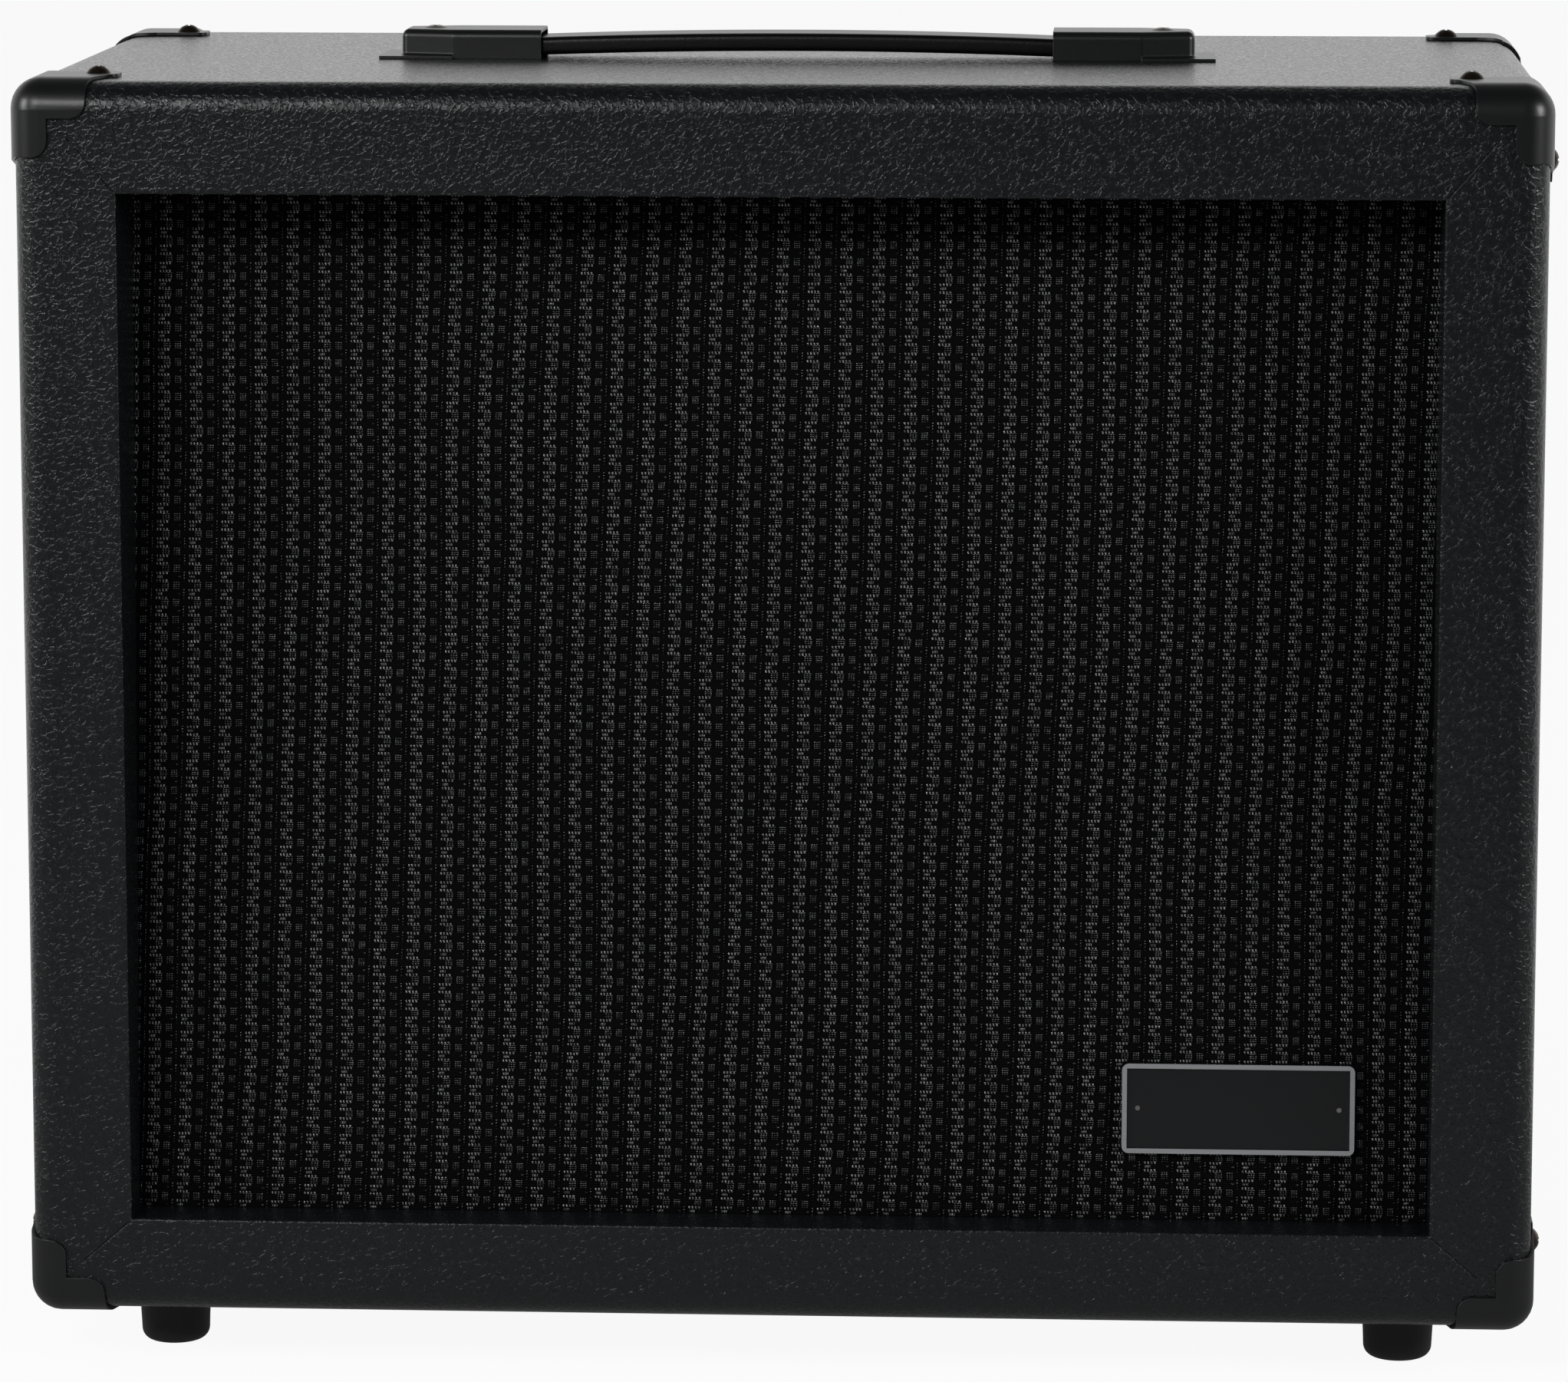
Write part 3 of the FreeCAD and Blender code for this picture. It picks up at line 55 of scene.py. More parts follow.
def linear(colour):
    """Linear colour of an sRGB hex value."""
    parts = [int(colour[i : i + 2], 16) / 255 for i in (1, 3, 5)]
    return [c / 12.92 if c <= 0.04045 else ((c + 0.055) / 1.055) ** 2.4 for c in parts] + [1.0]


def wire(tree, node, sockets):
    """Gives each socket of a node a value or the output of another node."""
    for name, value in sockets.items():
        if isinstance(value, bpy.types.NodeSocket):
            tree.links.new(value, node.inputs[name])
        else:
            node.inputs[name].default_value = value


def add(tree, kind, sockets, **settings):
    """Adds a node with its settings, values and links."""
    node = tree.nodes.new("ShaderNode" + kind)
    for name, value in settings.items():
        setattr(node, name, value)
    wire(tree, node, sockets)
    return node


def new_finish(name):
    """Starts a material; returns it with its node tree and its shader."""
    material = bpy.data.materials.new(name)
    material.use_nodes = True
    return material, material.node_tree, material.node_tree.nodes["Principled BSDF"]


def dress(material, *names):
    """Gives CAD nodes a finish."""
    for name in names:
        mesh = nodes[name].data
        mesh.materials.clear()
        mesh.materials.append(material)


# Birch plywood, sanded: pale tan, with pores drawn out along the board
plywood, tree, shader = new_finish("birch_plywood")
place = add(tree, "TexCoord", {})
drawn_out = add(tree, "Mapping", {"Vector": place.outputs["Object"], "Scale": (9, 140, 140)})
grain = add(tree, "TexNoise", {"Vector": drawn_out.outputs["Vector"], "Scale": 1, "Detail": 5})
tan = add(tree, "ValToRGB", {"Fac": grain.outputs["Fac"]})
tan.color_ramp.elements[0].color = linear("#a8834f")
tan.color_ramp.elements[0].position = 0.35
tan.color_ramp.elements[1].color = linear("#d2b484")
tan.color_ramp.elements[1].position = 0.65
pores = add(tree, "Bump", {"Height": grain.outputs["Fac"], "Distance": 0.0002, "Strength": 0.4})
wire(tree, shader, {"Base Color": tan.outputs["Color"], "Normal": pores.outputs["Normal"]})
wire(tree, shader, {"Roughness": 0.62})
boards = ["top_board", "bottom_board", "left_board", "right_board", "back_cleats", "grille_frame"]
rails = ["front_rail_top", "front_rail_bottom", "front_rail_left", "front_rail_right"]
dress(plywood, *boards, *rails)

# Covering: black PVC film on cotton backing, embossed with a levant leather grain, glued over the shell
# and folded into the front opening and round the back. The back panel is wrapped in the same sheet.

# Embossed PVC: shiny raised veins about 2.3 mm apart round duller hollows, of uneven height, with fine
# creases between. The hollows are coloured a shade darker than the veins, as painted shade. The film is
# rounded where it is folded over an edge.
vein_spacing = 0.0023
vein_wander = 0.0028
crease_spacing = 0.0013
crease_share = 0.12
grain_relief = 0.00014
fold_radius = 0.0007
covering, tree, shader = new_finish("levant_grain_vinyl")
place = add(tree, "TexCoord", {})
wander = add(
    tree,
    "TexNoise",
    {"Vector": place.outputs["Object"], "Scale": 300, "Detail": 4, "Roughness": 0.62},
)
shift = add(
    tree,
    "VectorMath",
    {0: wander.outputs["Color"], 1: (vein_wander,) * 3, 2: place.outputs["Object"]},
    operation="MULTIPLY_ADD",
)
veins = add(
    tree,
    "TexVoronoi",
    {"Vector": shift.outputs["Vector"], "Scale": 1 / vein_spacing},
    feature="DISTANCE_TO_EDGE",
)
raised = add(
    tree,
    "MapRange",
    {"Value": veins.outputs["Distance"], 1: 0.0, 2: 0.19, 3: 1.0, 4: 0.0},
    interpolation_type="SMOOTHSTEP",
)
creases = add(
    tree,
    "TexVoronoi",
    {"Vector": shift.outputs["Vector"], "Scale": 1 / crease_spacing},
    feature="DISTANCE_TO_EDGE",
)
fine = add(
    tree,
    "MapRange",
    {"Value": creases.outputs["Distance"], 1: 0.0, 2: 0.3, 3: 1.0, 4: 0.0},
    interpolation_type="SMOOTHSTEP",
)
patches = add(tree, "TexNoise", {"Vector": place.outputs["Object"], "Scale": 420, "Detail": 2})
depth = add(tree, "MapRange", {"Value": patches.outputs["Fac"], 1: 0.35, 2: 0.62, 3: 0.15, 4: 1.0})
uneven = add(
    tree,
    "Math",
    {0: raised.outputs["Result"], 1: depth.outputs["Result"]},
    operation="MULTIPLY",
)
height = add(
    tree,
    "Math",
    {0: fine.outputs["Result"], 1: crease_share, 2: uneven.outputs["Value"]},
    operation="MULTIPLY_ADD",
)
folded_edge = add(tree, "Bevel", {"Radius": fold_radius}, samples=4)
emboss = add(
    tree,
    "Bump",
    {
        "Height": height.outputs["Value"],
        "Distance": grain_relief,
        "Strength": 1.0,
        "Normal": folded_edge.outputs["Normal"],
    },
)
# Painted shade: the hollows are coloured a shade darker than the raised veins
hollows_painted_darker = add(
    tree,
    "Mix",
    {"Factor": uneven.outputs["Value"], "A": linear("#0d0f11"), "B": linear("#121517")},
    data_type="RGBA",
)
shine = add(tree, "MapRange", {"Value": uneven.outputs["Value"], 2: 0.45, 3: 0.32, 4: 0.22})
wire(
    tree,
    shader,
    {
        "Base Color": hollows_painted_darker.outputs["Result"],
        "Roughness": shine.outputs["Result"],
        "Normal": emboss.outputs["Normal"],
        "IOR": 1.5,
    },
)
dress(covering, "vinyl_covering", "back_panel")

# Baffle and its ports: a plywood board, painted black and screwed to the front rails, with two moulded
# port tubes pressed into its lower corners. They stand behind the cloth, which hides them.

# Flat black emulsion on plywood, rolled on
baffle_paint, tree, shader = new_finish("black_emulsion")
place = add(tree, "TexCoord", {})
stipple = add(tree, "TexNoise", {"Vector": place.outputs["Object"], "Scale": 900, "Detail": 3})
rolled = add(tree, "Bump", {"Height": stipple.outputs["Fac"], "Distance": 0.0002, "Strength": 0.5})
wire(tree, shader, {"Base Color": linear("#0c0c0c"), "Roughness": 0.85})
wire(tree, shader, {"Normal": rolled.outputs["Normal"]})
dress(baffle_paint, "baffle_board")

# Moulded black ABS, spark-eroded texture
abs_plastic, tree, shader = new_finish("moulded_abs")
place = add(tree, "TexCoord", {})
spark = add(tree, "TexNoise", {"Vector": place.outputs["Object"], "Scale": 2200, "Detail": 2})
eroded = add(tree, "Bump", {"Height": spark.outputs["Fac"], "Distance": 0.0001, "Strength": 0.5})
wire(tree, shader, {"Base Color": linear("#101011"), "Roughness": 0.5})
wire(tree, shader, {"Normal": eroded.outputs["Normal"]})
dress(abs_plastic, "port_tube_left", "port_tube_right", "lead_clip")

# Speaker's cone, dust cap and gasket: felted paper pulp, pressed to shape. The cap is glued over the
# neck of the cone, and the gasket lies between the basket and the baffle.

# Felted paper pulp, dark grey: matt, with short fibres
paper, tree, shader = new_finish("felted_paper")
place = add(tree, "TexCoord", {})
fibres = add(tree, "TexNoise", {"Vector": place.outputs["Object"], "Scale": 700, "Detail": 6})
pulp = add(tree, "ValToRGB", {"Fac": fibres.outputs["Fac"]})
pulp.color_ramp.elements[0].color = linear("#262625")
pulp.color_ramp.elements[1].color = linear("#454442")
felt = add(tree, "Bump", {"Height": fibres.outputs["Fac"], "Distance": 0.0003, "Strength": 0.5})
wire(tree, shader, {"Base Color": pulp.outputs["Color"], "Normal": felt.outputs["Normal"]})
wire(tree, shader, {"Roughness": 0.9})
dress(paper, "speaker_cone", "speaker_dust_cap", "speaker_gasket")

# Speaker's surround and spider: the cloth rings that let the cone travel and bring it back. They are
# pressed with resin and glued at one edge to the basket and at the other to the cone or its former.

# Cloth stiffened with resin and doped: dark, slightly tacky sheen over a fine weave
doped_cloth, tree, shader = new_finish("doped_cloth")
place = add(tree, "TexCoord", {})
threads = add(tree, "TexVoronoi", {"Vector": place.outputs["Object"], "Scale": 1400})
weave_fine = add(tree, "Bump", {"Height": threads.outputs["Distance"], "Distance": 0.0003})
wire(tree, shader, {"Base Color": linear("#2a2826"), "Roughness": 0.3})
wire(tree, shader, {"Normal": weave_fine.outputs["Normal"]})
dress(doped_cloth, "speaker_surround", "speaker_spider")


def only(thing):
    """Deselects everything and makes one object the active one."""
    bpy.ops.object.select_all(action="DESELECT")
    thing.select_set(True)
    bpy.context.view_layer.objects.active = thing


# The spider flexes as the cone moves, so it is cut into a centre glued to the coil's former, which
# travels with the cone, and a skirt glued to the basket
lean_back = 0.0205
lean_rise = 0.3635
lean = math.atan(lean_back / lean_rise)
lean_turn = (math.radians(90) - lean, 0, 0)
spider_split_radius = 0.036
spider_cutter_length = 0.06
merge_distance = 1e-5
spider_low, spider_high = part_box("speaker_spider")
spider_middle = [(low + high) / 2 for low, high in zip(spider_low, spider_high)]
bpy.ops.object.select_all(action="DESELECT")
bpy.ops.mesh.primitive_cylinder_add(
    vertices=96,
    radius=spider_split_radius,
    depth=spider_cutter_length,
    location=spider_middle,
    rotation=lean_turn,
)
spider_cutter = bpy.context.object
for name, side, body in (
    ("spider_centre", "INTERSECT", "cone"),
    ("spider_skirt", "DIFFERENCE", "cabinet"),
):
    piece = bpy.data.objects.new(name, nodes["speaker_spider"].data.copy())
    bpy.context.scene.collection.objects.link(piece)
    only(piece)
    bpy.ops.object.mode_set(mode="EDIT")
    bpy.ops.mesh.select_all(action="SELECT")
    bpy.ops.mesh.remove_doubles(threshold=merge_distance)
    bpy.ops.object.mode_set(mode="OBJECT")
    split = piece.modifiers.new("split", "BOOLEAN")
    split.object = spider_cutter
    split.operation = side
    bpy.ops.object.modifier_apply(modifier="split")
    bpy.ops.object.shade_smooth_by_angle(angle=math.radians(30))
    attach(piece, body)
    if name == "spider_skirt":
        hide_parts("speaker_spider")
bpy.data.objects.remove(spider_cutter)

# Speaker's basket, magnet and fastenings: a pressed steel basket carries a ferrite ring between two
# zinc-plated steel plates, and is bolted to tee nuts in the baffle.

# Stove-enamelled pressed steel: black, smooth, a little orange peel
enamel, tree, shader = new_finish("stove_enamel")
place = add(tree, "TexCoord", {})
peel = add(tree, "TexNoise", {"Vector": place.outputs["Object"], "Scale": 450, "Detail": 1})
dimples = add(tree, "Bump", {"Height": peel.outputs["Fac"], "Distance": 0.0001, "Strength": 0.4})
wire(tree, shader, {"Base Color": linear("#141415"), "Roughness": 0.35})
wire(tree, shader, {"Normal": dimples.outputs["Normal"]})
dress(enamel, "speaker_basket")

# Sintered ferrite: charcoal, matt and slightly pitted
ferrite, tree, shader = new_finish("sintered_ferrite")
place = add(tree, "TexCoord", {})
pits = add(tree, "TexNoise", {"Vector": place.outputs["Object"], "Scale": 600, "Detail": 4})
pitted = add(tree, "Bump", {"Height": pits.outputs["Fac"], "Distance": 0.0002, "Strength": 0.6})
wire(tree, shader, {"Base Color": linear("#3a3a3c"), "Roughness": 0.7})
wire(tree, shader, {"Normal": pitted.outputs["Normal"]})
dress(ferrite, "magnet_ring")

# Zinc-plated steel: pale grey with a faint mottle
zinc, tree, shader = new_finish("zinc_plate")
place = add(tree, "TexCoord", {})
mottle = add(tree, "TexNoise", {"Vector": place.outputs["Object"], "Scale": 300, "Detail": 3})
plated = add(tree, "ValToRGB", {"Fac": mottle.outputs["Fac"]})
plated.color_ramp.elements[0].color = linear("#9c9c98")
plated.color_ramp.elements[1].color = linear("#c6c6c2")
dulled = add(tree, "MapRange", {"Value": mottle.outputs["Fac"], 3: 0.28, 4: 0.45})
wire(tree, shader, {"Base Color": plated.outputs["Color"], "Roughness": dulled.outputs["Result"]})
wire(tree, shader, {"Metallic": 1.0})
steel_pieces = ["magnet_top_plate", "magnet_yoke", "speaker_bolts", "speaker_tee_nuts", "baffle_screws"]
hidden_steel = ["handle_tee_nuts", "foot_screws", "foot_washers", "lead_clip_screw", "badge_push_nuts"]
dress(zinc, *steel_pieces, *hidden_steel)

# Voice coil: copper wire wound on a tube of foil, which is glued into the neck of the cone and hangs
# in the gap of the magnet.

# Enamelled copper wire, wound in one layer: turns 0.4 mm apart
copper, tree, shader = new_finish("enamelled_copper")
place = add(tree, "TexCoord", {})
turns = add(
    tree, "TexWave", {"Vector": place.outputs["Object"], "Scale": 800}, bands_direction="Y"
)
wound = add(tree, "Bump", {"Height": turns.outputs["Fac"], "Distance": 0.0002})
wire(tree, shader, {"Base Color": linear("#b0683a"), "Metallic": 1.0, "Roughness": 0.3})
wire(tree, shader, {"Normal": wound.outputs["Normal"]})
dress(copper, "voice_coil")

# Aluminium foil rolled into a tube
foil, tree, shader = new_finish("aluminium_foil")
place = add(tree, "TexCoord", {})
rolling = add(tree, "Mapping", {"Vector": place.outputs["Object"], "Scale": (2500, 60, 2500)})
lines = add(tree, "TexNoise", {"Vector": rolling.outputs["Vector"], "Scale": 1})
streaks = add(tree, "MapRange", {"Value": lines.outputs["Fac"], 3: 0.2, 4: 0.4})
wire(tree, shader, {"Base Color": linear("#c9cacc"), "Metallic": 1.0})
wire(tree, shader, {"Roughness": streaks.outputs["Result"]})
dress(foil, "voice_coil_former")

# Terminals and leads: a fibre board with brass tags on the basket, and two insulated leads that run
# from the tags, under a clip on the bottom board, to the lugs of the jack.

# Pressed brown fibre board
fibre, tree, shader = new_finish("vulcanised_fibre")
place = add(tree, "TexCoord", {})
flecks = add(tree, "TexNoise", {"Vector": place.outputs["Object"], "Scale": 900, "Detail": 5})
browns = add(tree, "ValToRGB", {"Fac": flecks.outputs["Fac"]})
browns.color_ramp.elements[0].color = linear("#4f3320")
browns.color_ramp.elements[1].color = linear("#7a5233")
wire(tree, shader, {"Base Color": browns.outputs["Color"], "Roughness": 0.6})
dress(fibre, "terminal_board", "jack_insulator")

# Stamped brass, slightly tarnished
brass, tree, shader = new_finish("stamped_brass")
place = add(tree, "TexCoord", {})
tarnish = add(tree, "TexNoise", {"Vector": place.outputs["Object"], "Scale": 350, "Detail": 3})
dull = add(tree, "ValToRGB", {"Fac": tarnish.outputs["Fac"]})
dull.color_ramp.elements[0].color = linear("#96763c")
dull.color_ramp.elements[1].color = linear("#c8a55c")
wire(tree, shader, {"Base Color": dull.outputs["Color"], "Metallic": 1.0, "Roughness": 0.32})
dress(brass, "terminal_tags", "jack_lugs", "jack_tip_spring")

# Soft PVC over stranded wire: black, with a slight ripple from the strands
lead_cover, tree, shader = new_finish("lead_insulation")
place = add(tree, "TexCoord", {})
strands = add(tree, "TexNoise", {"Vector": place.outputs["Object"], "Scale": 800})
ripple = add(tree, "Bump", {"Height": strands.outputs["Fac"], "Distance": 0.0001})
wire(tree, shader, {"Base Color": linear("#161617"), "Roughness": 0.45})
wire(tree, shader, {"Normal": ripple.outputs["Normal"]})
dress(lead_cover, "speaker_leads")

# Grille cloth: black basket-weave cloth of coated yarn, stretched over the grille strips and folded
# round their edges. It leans back with the baffle, so it is made flat and then turned to that lean.
lean_centre = (0, -0.10775, 0.23575)
cloth_half_width = 0.2442
cloth_top = 0.19745
cloth_bottom = -0.19295
cloth_fold = 0.006
ground_depth = 0.0006
ground_thickness = 0.0002


def pick(thing, kind, wanted):
    """Selects, in edit mode, the vertices, edges or faces whose middle is wanted."""
    bpy.ops.object.mode_set(mode="EDIT")
    bpy.ops.mesh.select_mode(type=kind)
    bpy.ops.mesh.select_all(action="DESELECT")
    bpy.ops.object.mode_set(mode="OBJECT")
    mesh = thing.data
    parts = {"VERT": mesh.vertices, "EDGE": mesh.edges, "FACE": mesh.polygons}[kind]
    for part in parts:
        if kind == "VERT":
            middle = part.co
        elif kind == "FACE":
            middle = part.center
        else:
            first, last = part.vertices
            middle = (mesh.vertices[first].co + mesh.vertices[last].co) / 2
        part.select = bool(wanted(middle))
    bpy.ops.object.mode_set(mode="EDIT")


def settle(thing):
    """Back to object mode, with the object's place and turn in its mesh."""
    bpy.ops.object.mode_set(mode="OBJECT")
    only(thing)
    bpy.ops.object.transform_apply(location=True, rotation=True, scale=True)


bpy.ops.object.select_all(action="DESELECT")
bpy.ops.mesh.primitive_plane_add(size=1)
ground = bpy.context.object
ground.name = "grille_ground"
ground.scale = (2 * cloth_half_width, cloth_top - cloth_bottom, 1)
ground.location = (0, (cloth_top + cloth_bottom) / 2, -ground_depth)
settle(ground)
pick(ground, "EDGE", lambda p: True)
bpy.ops.mesh.extrude_edges_move(TRANSFORM_OT_translate={"value": (0, 0, -cloth_fold)})
bpy.ops.object.mode_set(mode="OBJECT")
ground.rotation_euler = lean_turn
ground.location = lean_centre
settle(ground)
thickness = ground.modifiers.new("thickness", "SOLIDIFY")
thickness.thickness = ground_thickness
thickness.offset = -1
bpy.ops.object.modifier_apply(modifier="thickness")

# Ground of the cloth: thin dull threads, 0.75 mm apart, low between the cords
ground_cloth, tree, shader = new_finish("ground_threads")
place = add(tree, "TexCoord", {})
rows = add(
    tree, "TexWave", {"Vector": place.outputs["Object"], "Scale": 420}, bands_direction="Z"
)
thread_relief = add(tree, "Bump", {"Height": rows.outputs["Fac"], "Distance": 0.0002})
wire(tree, shader, {"Base Color": linear("#030303"), "Roughness": 0.9, "Specular IOR Level": 0.1})
wire(tree, shader, {"Normal": thread_relief.outputs["Normal"]})
ground.data.materials.append(ground_cloth)

# One repeat of the weave: a block of three level cords, two bundles of upright ones and a thin binder
repeat_width = 0.01145
repeat_height = 0.00608
columns = 41
rows_up = 61
cord_crown = -0.00003
cord_height = 0.00042
cord_dive = 0.00035
cord_end = 0.0001
column_lean = 0.043
column_wander = 0.004
wander_size = 0.12


def cord(across, x, y, length, width, cuts):
    """A short cord of the weave: a strip whose middle is raised and whose ends dive under."""
    bpy.ops.object.select_all(action="DESELECT")
    bpy.ops.mesh.primitive_grid_add(x_subdivisions=cuts, y_subdivisions=2, size=1)
    strip = bpy.context.object
    strip.scale = (length, width, 1)
    settle(strip)
    pick(strip, "VERT", lambda p: abs(p.y) > width / 4)
    bpy.ops.transform.translate(value=(0, 0, -cord_height))
    pick(strip, "VERT", lambda p: abs(p.x) > length / 2 - cord_end)
    bpy.ops.transform.translate(value=(0, 0, -cord_dive))
    bpy.ops.object.mode_set(mode="OBJECT")
    strip.rotation_euler.z = math.radians(90) if across == "up" else 0
    strip.location = (x, y, cord_crown)
    settle(strip)
    return strip


def woven(name, strips):
    """Joins the cords of one repeat, repeats them over the cloth and pulls them askew as cloth hangs."""
    bpy.ops.object.select_all(action="DESELECT")
    for strip in strips:
        strip.select_set(True)
    bpy.context.view_layer.objects.active = strips[0]
    bpy.ops.object.join()
    weave = bpy.context.object
    weave.name = name
    bpy.ops.object.shade_smooth()
    for step, count in (((repeat_width, 0, 0), columns), ((0, repeat_height, 0), rows_up)):
        rank = weave.modifiers.new("rank", "ARRAY")
        rank.count = count
        rank.use_relative_offset = False
        rank.use_constant_offset = True
        rank.constant_offset_displace = step
        bpy.ops.object.modifier_apply(modifier="rank")
    weave.location = (-columns * repeat_width / 2, -rows_up * repeat_height / 2, 0)
    settle(weave)
    leaning_columns = bpy.data.textures.new(name + "_skew", "BLEND")
    leaning_columns.use_flip_axis = "VERTICAL"
    wandering = bpy.data.textures.new(name + "_wander", "CLOUDS")
    wandering.noise_scale = wander_size
    for texture, reach in ((leaning_columns, column_lean), (wandering, column_wander)):
        pulled = weave.modifiers.new("pulled", "DISPLACE")
        pulled.texture = texture
        pulled.texture_coords = "LOCAL"
        pulled.direction = "X"
        pulled.strength = reach
        bpy.ops.object.modifier_apply(modifier="pulled")
    weave.rotation_euler = lean_turn
    weave.location = lean_centre
    settle(weave)
    return weave


level_width = 0.00095
level_length = 0.0046
level_middle = 0.00215
level_heights = (0.00542, 0.00266)
short_level_length = 0.0022
short_level_place = (0.0014, 0.00404)
upright_width = 0.00066
upright_length = 0.0029
upright_height = 0.00105
upright_places = (0.0024, 0.0033, 0.0042, 0.0064, 0.0072, 0.008)
binder_height = 0.0041
level_cords = [cord("level", level_middle, y, level_length, level_width, 4) for y in level_heights]
level_cords.append(cord("level", *short_level_place, short_level_length, level_width, 4))
upright_cords = [cord("up", x, upright_height, upright_length, upright_width, 3) for x in upright_places]
binders = [
    cord("up", 0.0099, binder_height, 0.0042, 0.0005, 4),
    cord("level", 0.0083, binder_height, 0.0011, 0.0008, 2),
]
weave_level = woven("grille_weave_level", level_cords)
weave_upright = woven("grille_weave_upright", upright_cords)
weave_binder = woven("grille_weave_binder", binders)

# Coated polyester yarn: glossy black plies, twisted together four times along each cord. The crowns of
# the plies are coloured light grey as a painted highlight, stronger on some plies than on others at
# random and brightest on the level cords, so that they show as uneven dots. The same crowns are also
# given more specular reflection, and the gaps between them none.
twists_along_cord = 4
twists_across_cord = 0.15
diagonal_band = 0.628
for weave, name, relief, colour in (
    (weave_level, "coated_yarn_weft", 0.00014, "#757676"),
    (weave_upright, "coated_yarn_warp", 0.00009, "#4c4d4d"),
    (weave_binder, "coated_yarn_binder", 0.00009, "#2a2b2b"),
):
    yarn, tree, shader = new_finish(name)
    place = add(tree, "TexCoord", {})
    unrolled = add(
        tree,
        "Mapping",
        {"Vector": place.outputs["UV"], "Scale": (twists_along_cord, twists_across_cord, 1)},
    )
    plies = add(
        tree,
        "TexWave",
        {"Vector": unrolled.outputs["Vector"], "Scale": diagonal_band},
        bands_direction="DIAGONAL",
    )
    ply_relief = add(tree, "Bump", {"Height": plies.outputs["Fac"], "Distance": relief})
    top = add(tree, "MapRange", {"Value": plies.outputs["Fac"], 1: 0.4, 2: 0.8, 3: 0.0, 4: 1.0})
    lay = add(tree, "TexNoise", {"Vector": place.outputs["Object"], "Scale": 700, "Detail": 1})
    # Random share of the painted highlight that each crown gets
    turned = add(tree, "MapRange", {"Value": lay.outputs["Fac"], 1: 0.35, 2: 0.65, 3: 0.25, 4: 1.0})
    crown = add(
        tree,
        "Math",
        {0: top.outputs["Result"], 1: turned.outputs["Result"]},
        operation="MULTIPLY",
    )
    # Painted highlight: crowns coloured from black up to the cord's light grey
    painted_glint_tint = add(
        tree,
        "Mix",
        {"Factor": crown.outputs["Value"], "A": linear("#040404"), "B": linear(colour)},
        data_type="RGBA",
    )
    gloss = add(tree, "MapRange", {"Value": lay.outputs["Fac"], 1: 0.35, 2: 0.65, 3: 0.24, 4: 0.14})
    wire(tree, shader, {"Base Color": painted_glint_tint.outputs["Result"], "Roughness": gloss.outputs["Result"]})
    wire(tree, shader, {"Normal": ply_relief.outputs["Normal"]})
    wire(tree, shader, {"Specular IOR Level": crown.outputs["Value"]})
    weave.data.materials.append(yarn)
    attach(weave, "cabinet")
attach(ground, "cabinet")
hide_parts("grille_cloth")

# Name plate: stamped aluminium with a bright raised rim and a black lacquered field, left bare. It is
# held through the cloth by two pins and push nuts.
rim_depth = 0.0002
plate_thickness = 0.002
plate, tree, shader = new_finish("lacquered_aluminium")
place = add(tree, "TexCoord", {})
tilt = add(
    tree,
    "VectorMath",
    {0: place.outputs["Object"], 1: (0, math.cos(lean), -math.sin(lean))},
    operation="DOT_PRODUCT",
)
cloth_front = lean_centre[1] * math.cos(lean) - lean_centre[2] * math.sin(lean)
plate_front = cloth_front - plate_thickness
field = add(
    tree,
    "Math",
    {0: tilt.outputs["Value"], 1: plate_front + rim_depth},
    operation="GREATER_THAN",
)
brushed_place = add(tree, "Mapping", {"Vector": place.outputs["Object"], "Scale": (40, 4000, 4000)})
brushing = add(tree, "TexNoise", {"Vector": brushed_place.outputs["Vector"], "Scale": 1, "Detail": 2})
silver = add(tree, "ValToRGB", {"Fac": brushing.outputs["Fac"]})
silver.color_ramp.elements[0].color = linear("#c4c7ca")
silver.color_ramp.elements[1].color = linear("#e9ebed")
plate_tone = add(
    tree,
    "Mix",
    {"Factor": field.outputs["Value"], "A": silver.outputs["Color"], "B": linear("#121315")},
    data_type="RGBA",
)
plate_metal = add(tree, "Math", {0: 1.0, 1: field.outputs["Value"]}, operation="SUBTRACT")
plate_rough = add(tree, "MapRange", {"Value": field.outputs["Value"], 3: 0.42, 4: 0.3})
wire(
    tree,
    shader,
    {
        "Base Color": plate_tone.outputs["Result"],
        "Metallic": plate_metal.outputs["Value"],
        "Roughness": plate_rough.outputs["Result"],
    },
)
dress(plate, "badge_plate")
dress(zinc, "badge_pins")

# Corner protectors, handle caps and jack plate: steel sheet, pressed to shape with rolled edges and
# powder-coated satin black. Screws and bolts through the covering hold them to the boards.
powder, tree, shader = new_finish("satin_powder_coat")
place = add(tree, "TexCoord", {})
powder_grain = add(tree, "TexNoise", {"Vector": place.outputs["Object"], "Scale": 1800, "Detail": 2})
rolled_edge = add(tree, "Bevel", {"Radius": 0.0005}, samples=6)
powder_relief = add(
    tree,
    "Bump",
    {
        "Height": powder_grain.outputs["Fac"],
        "Distance": 0.00005,
        "Strength": 0.5,
        "Normal": rolled_edge.outputs["Normal"],
    },
)
powder_gloss = add(tree, "MapRange", {"Value": powder_grain.outputs["Fac"], 3: 0.3, 4: 0.38})
wire(tree, shader, {"Base Color": linear("#101112"), "Roughness": powder_gloss.outputs["Result"]})
wire(tree, shader, {"Normal": powder_relief.outputs["Normal"]})
dress(powder, "corner_protectors_front", "corner_protectors_rear", "handle_cap_left")
dress(powder, "handle_cap_right", "jack_plate")

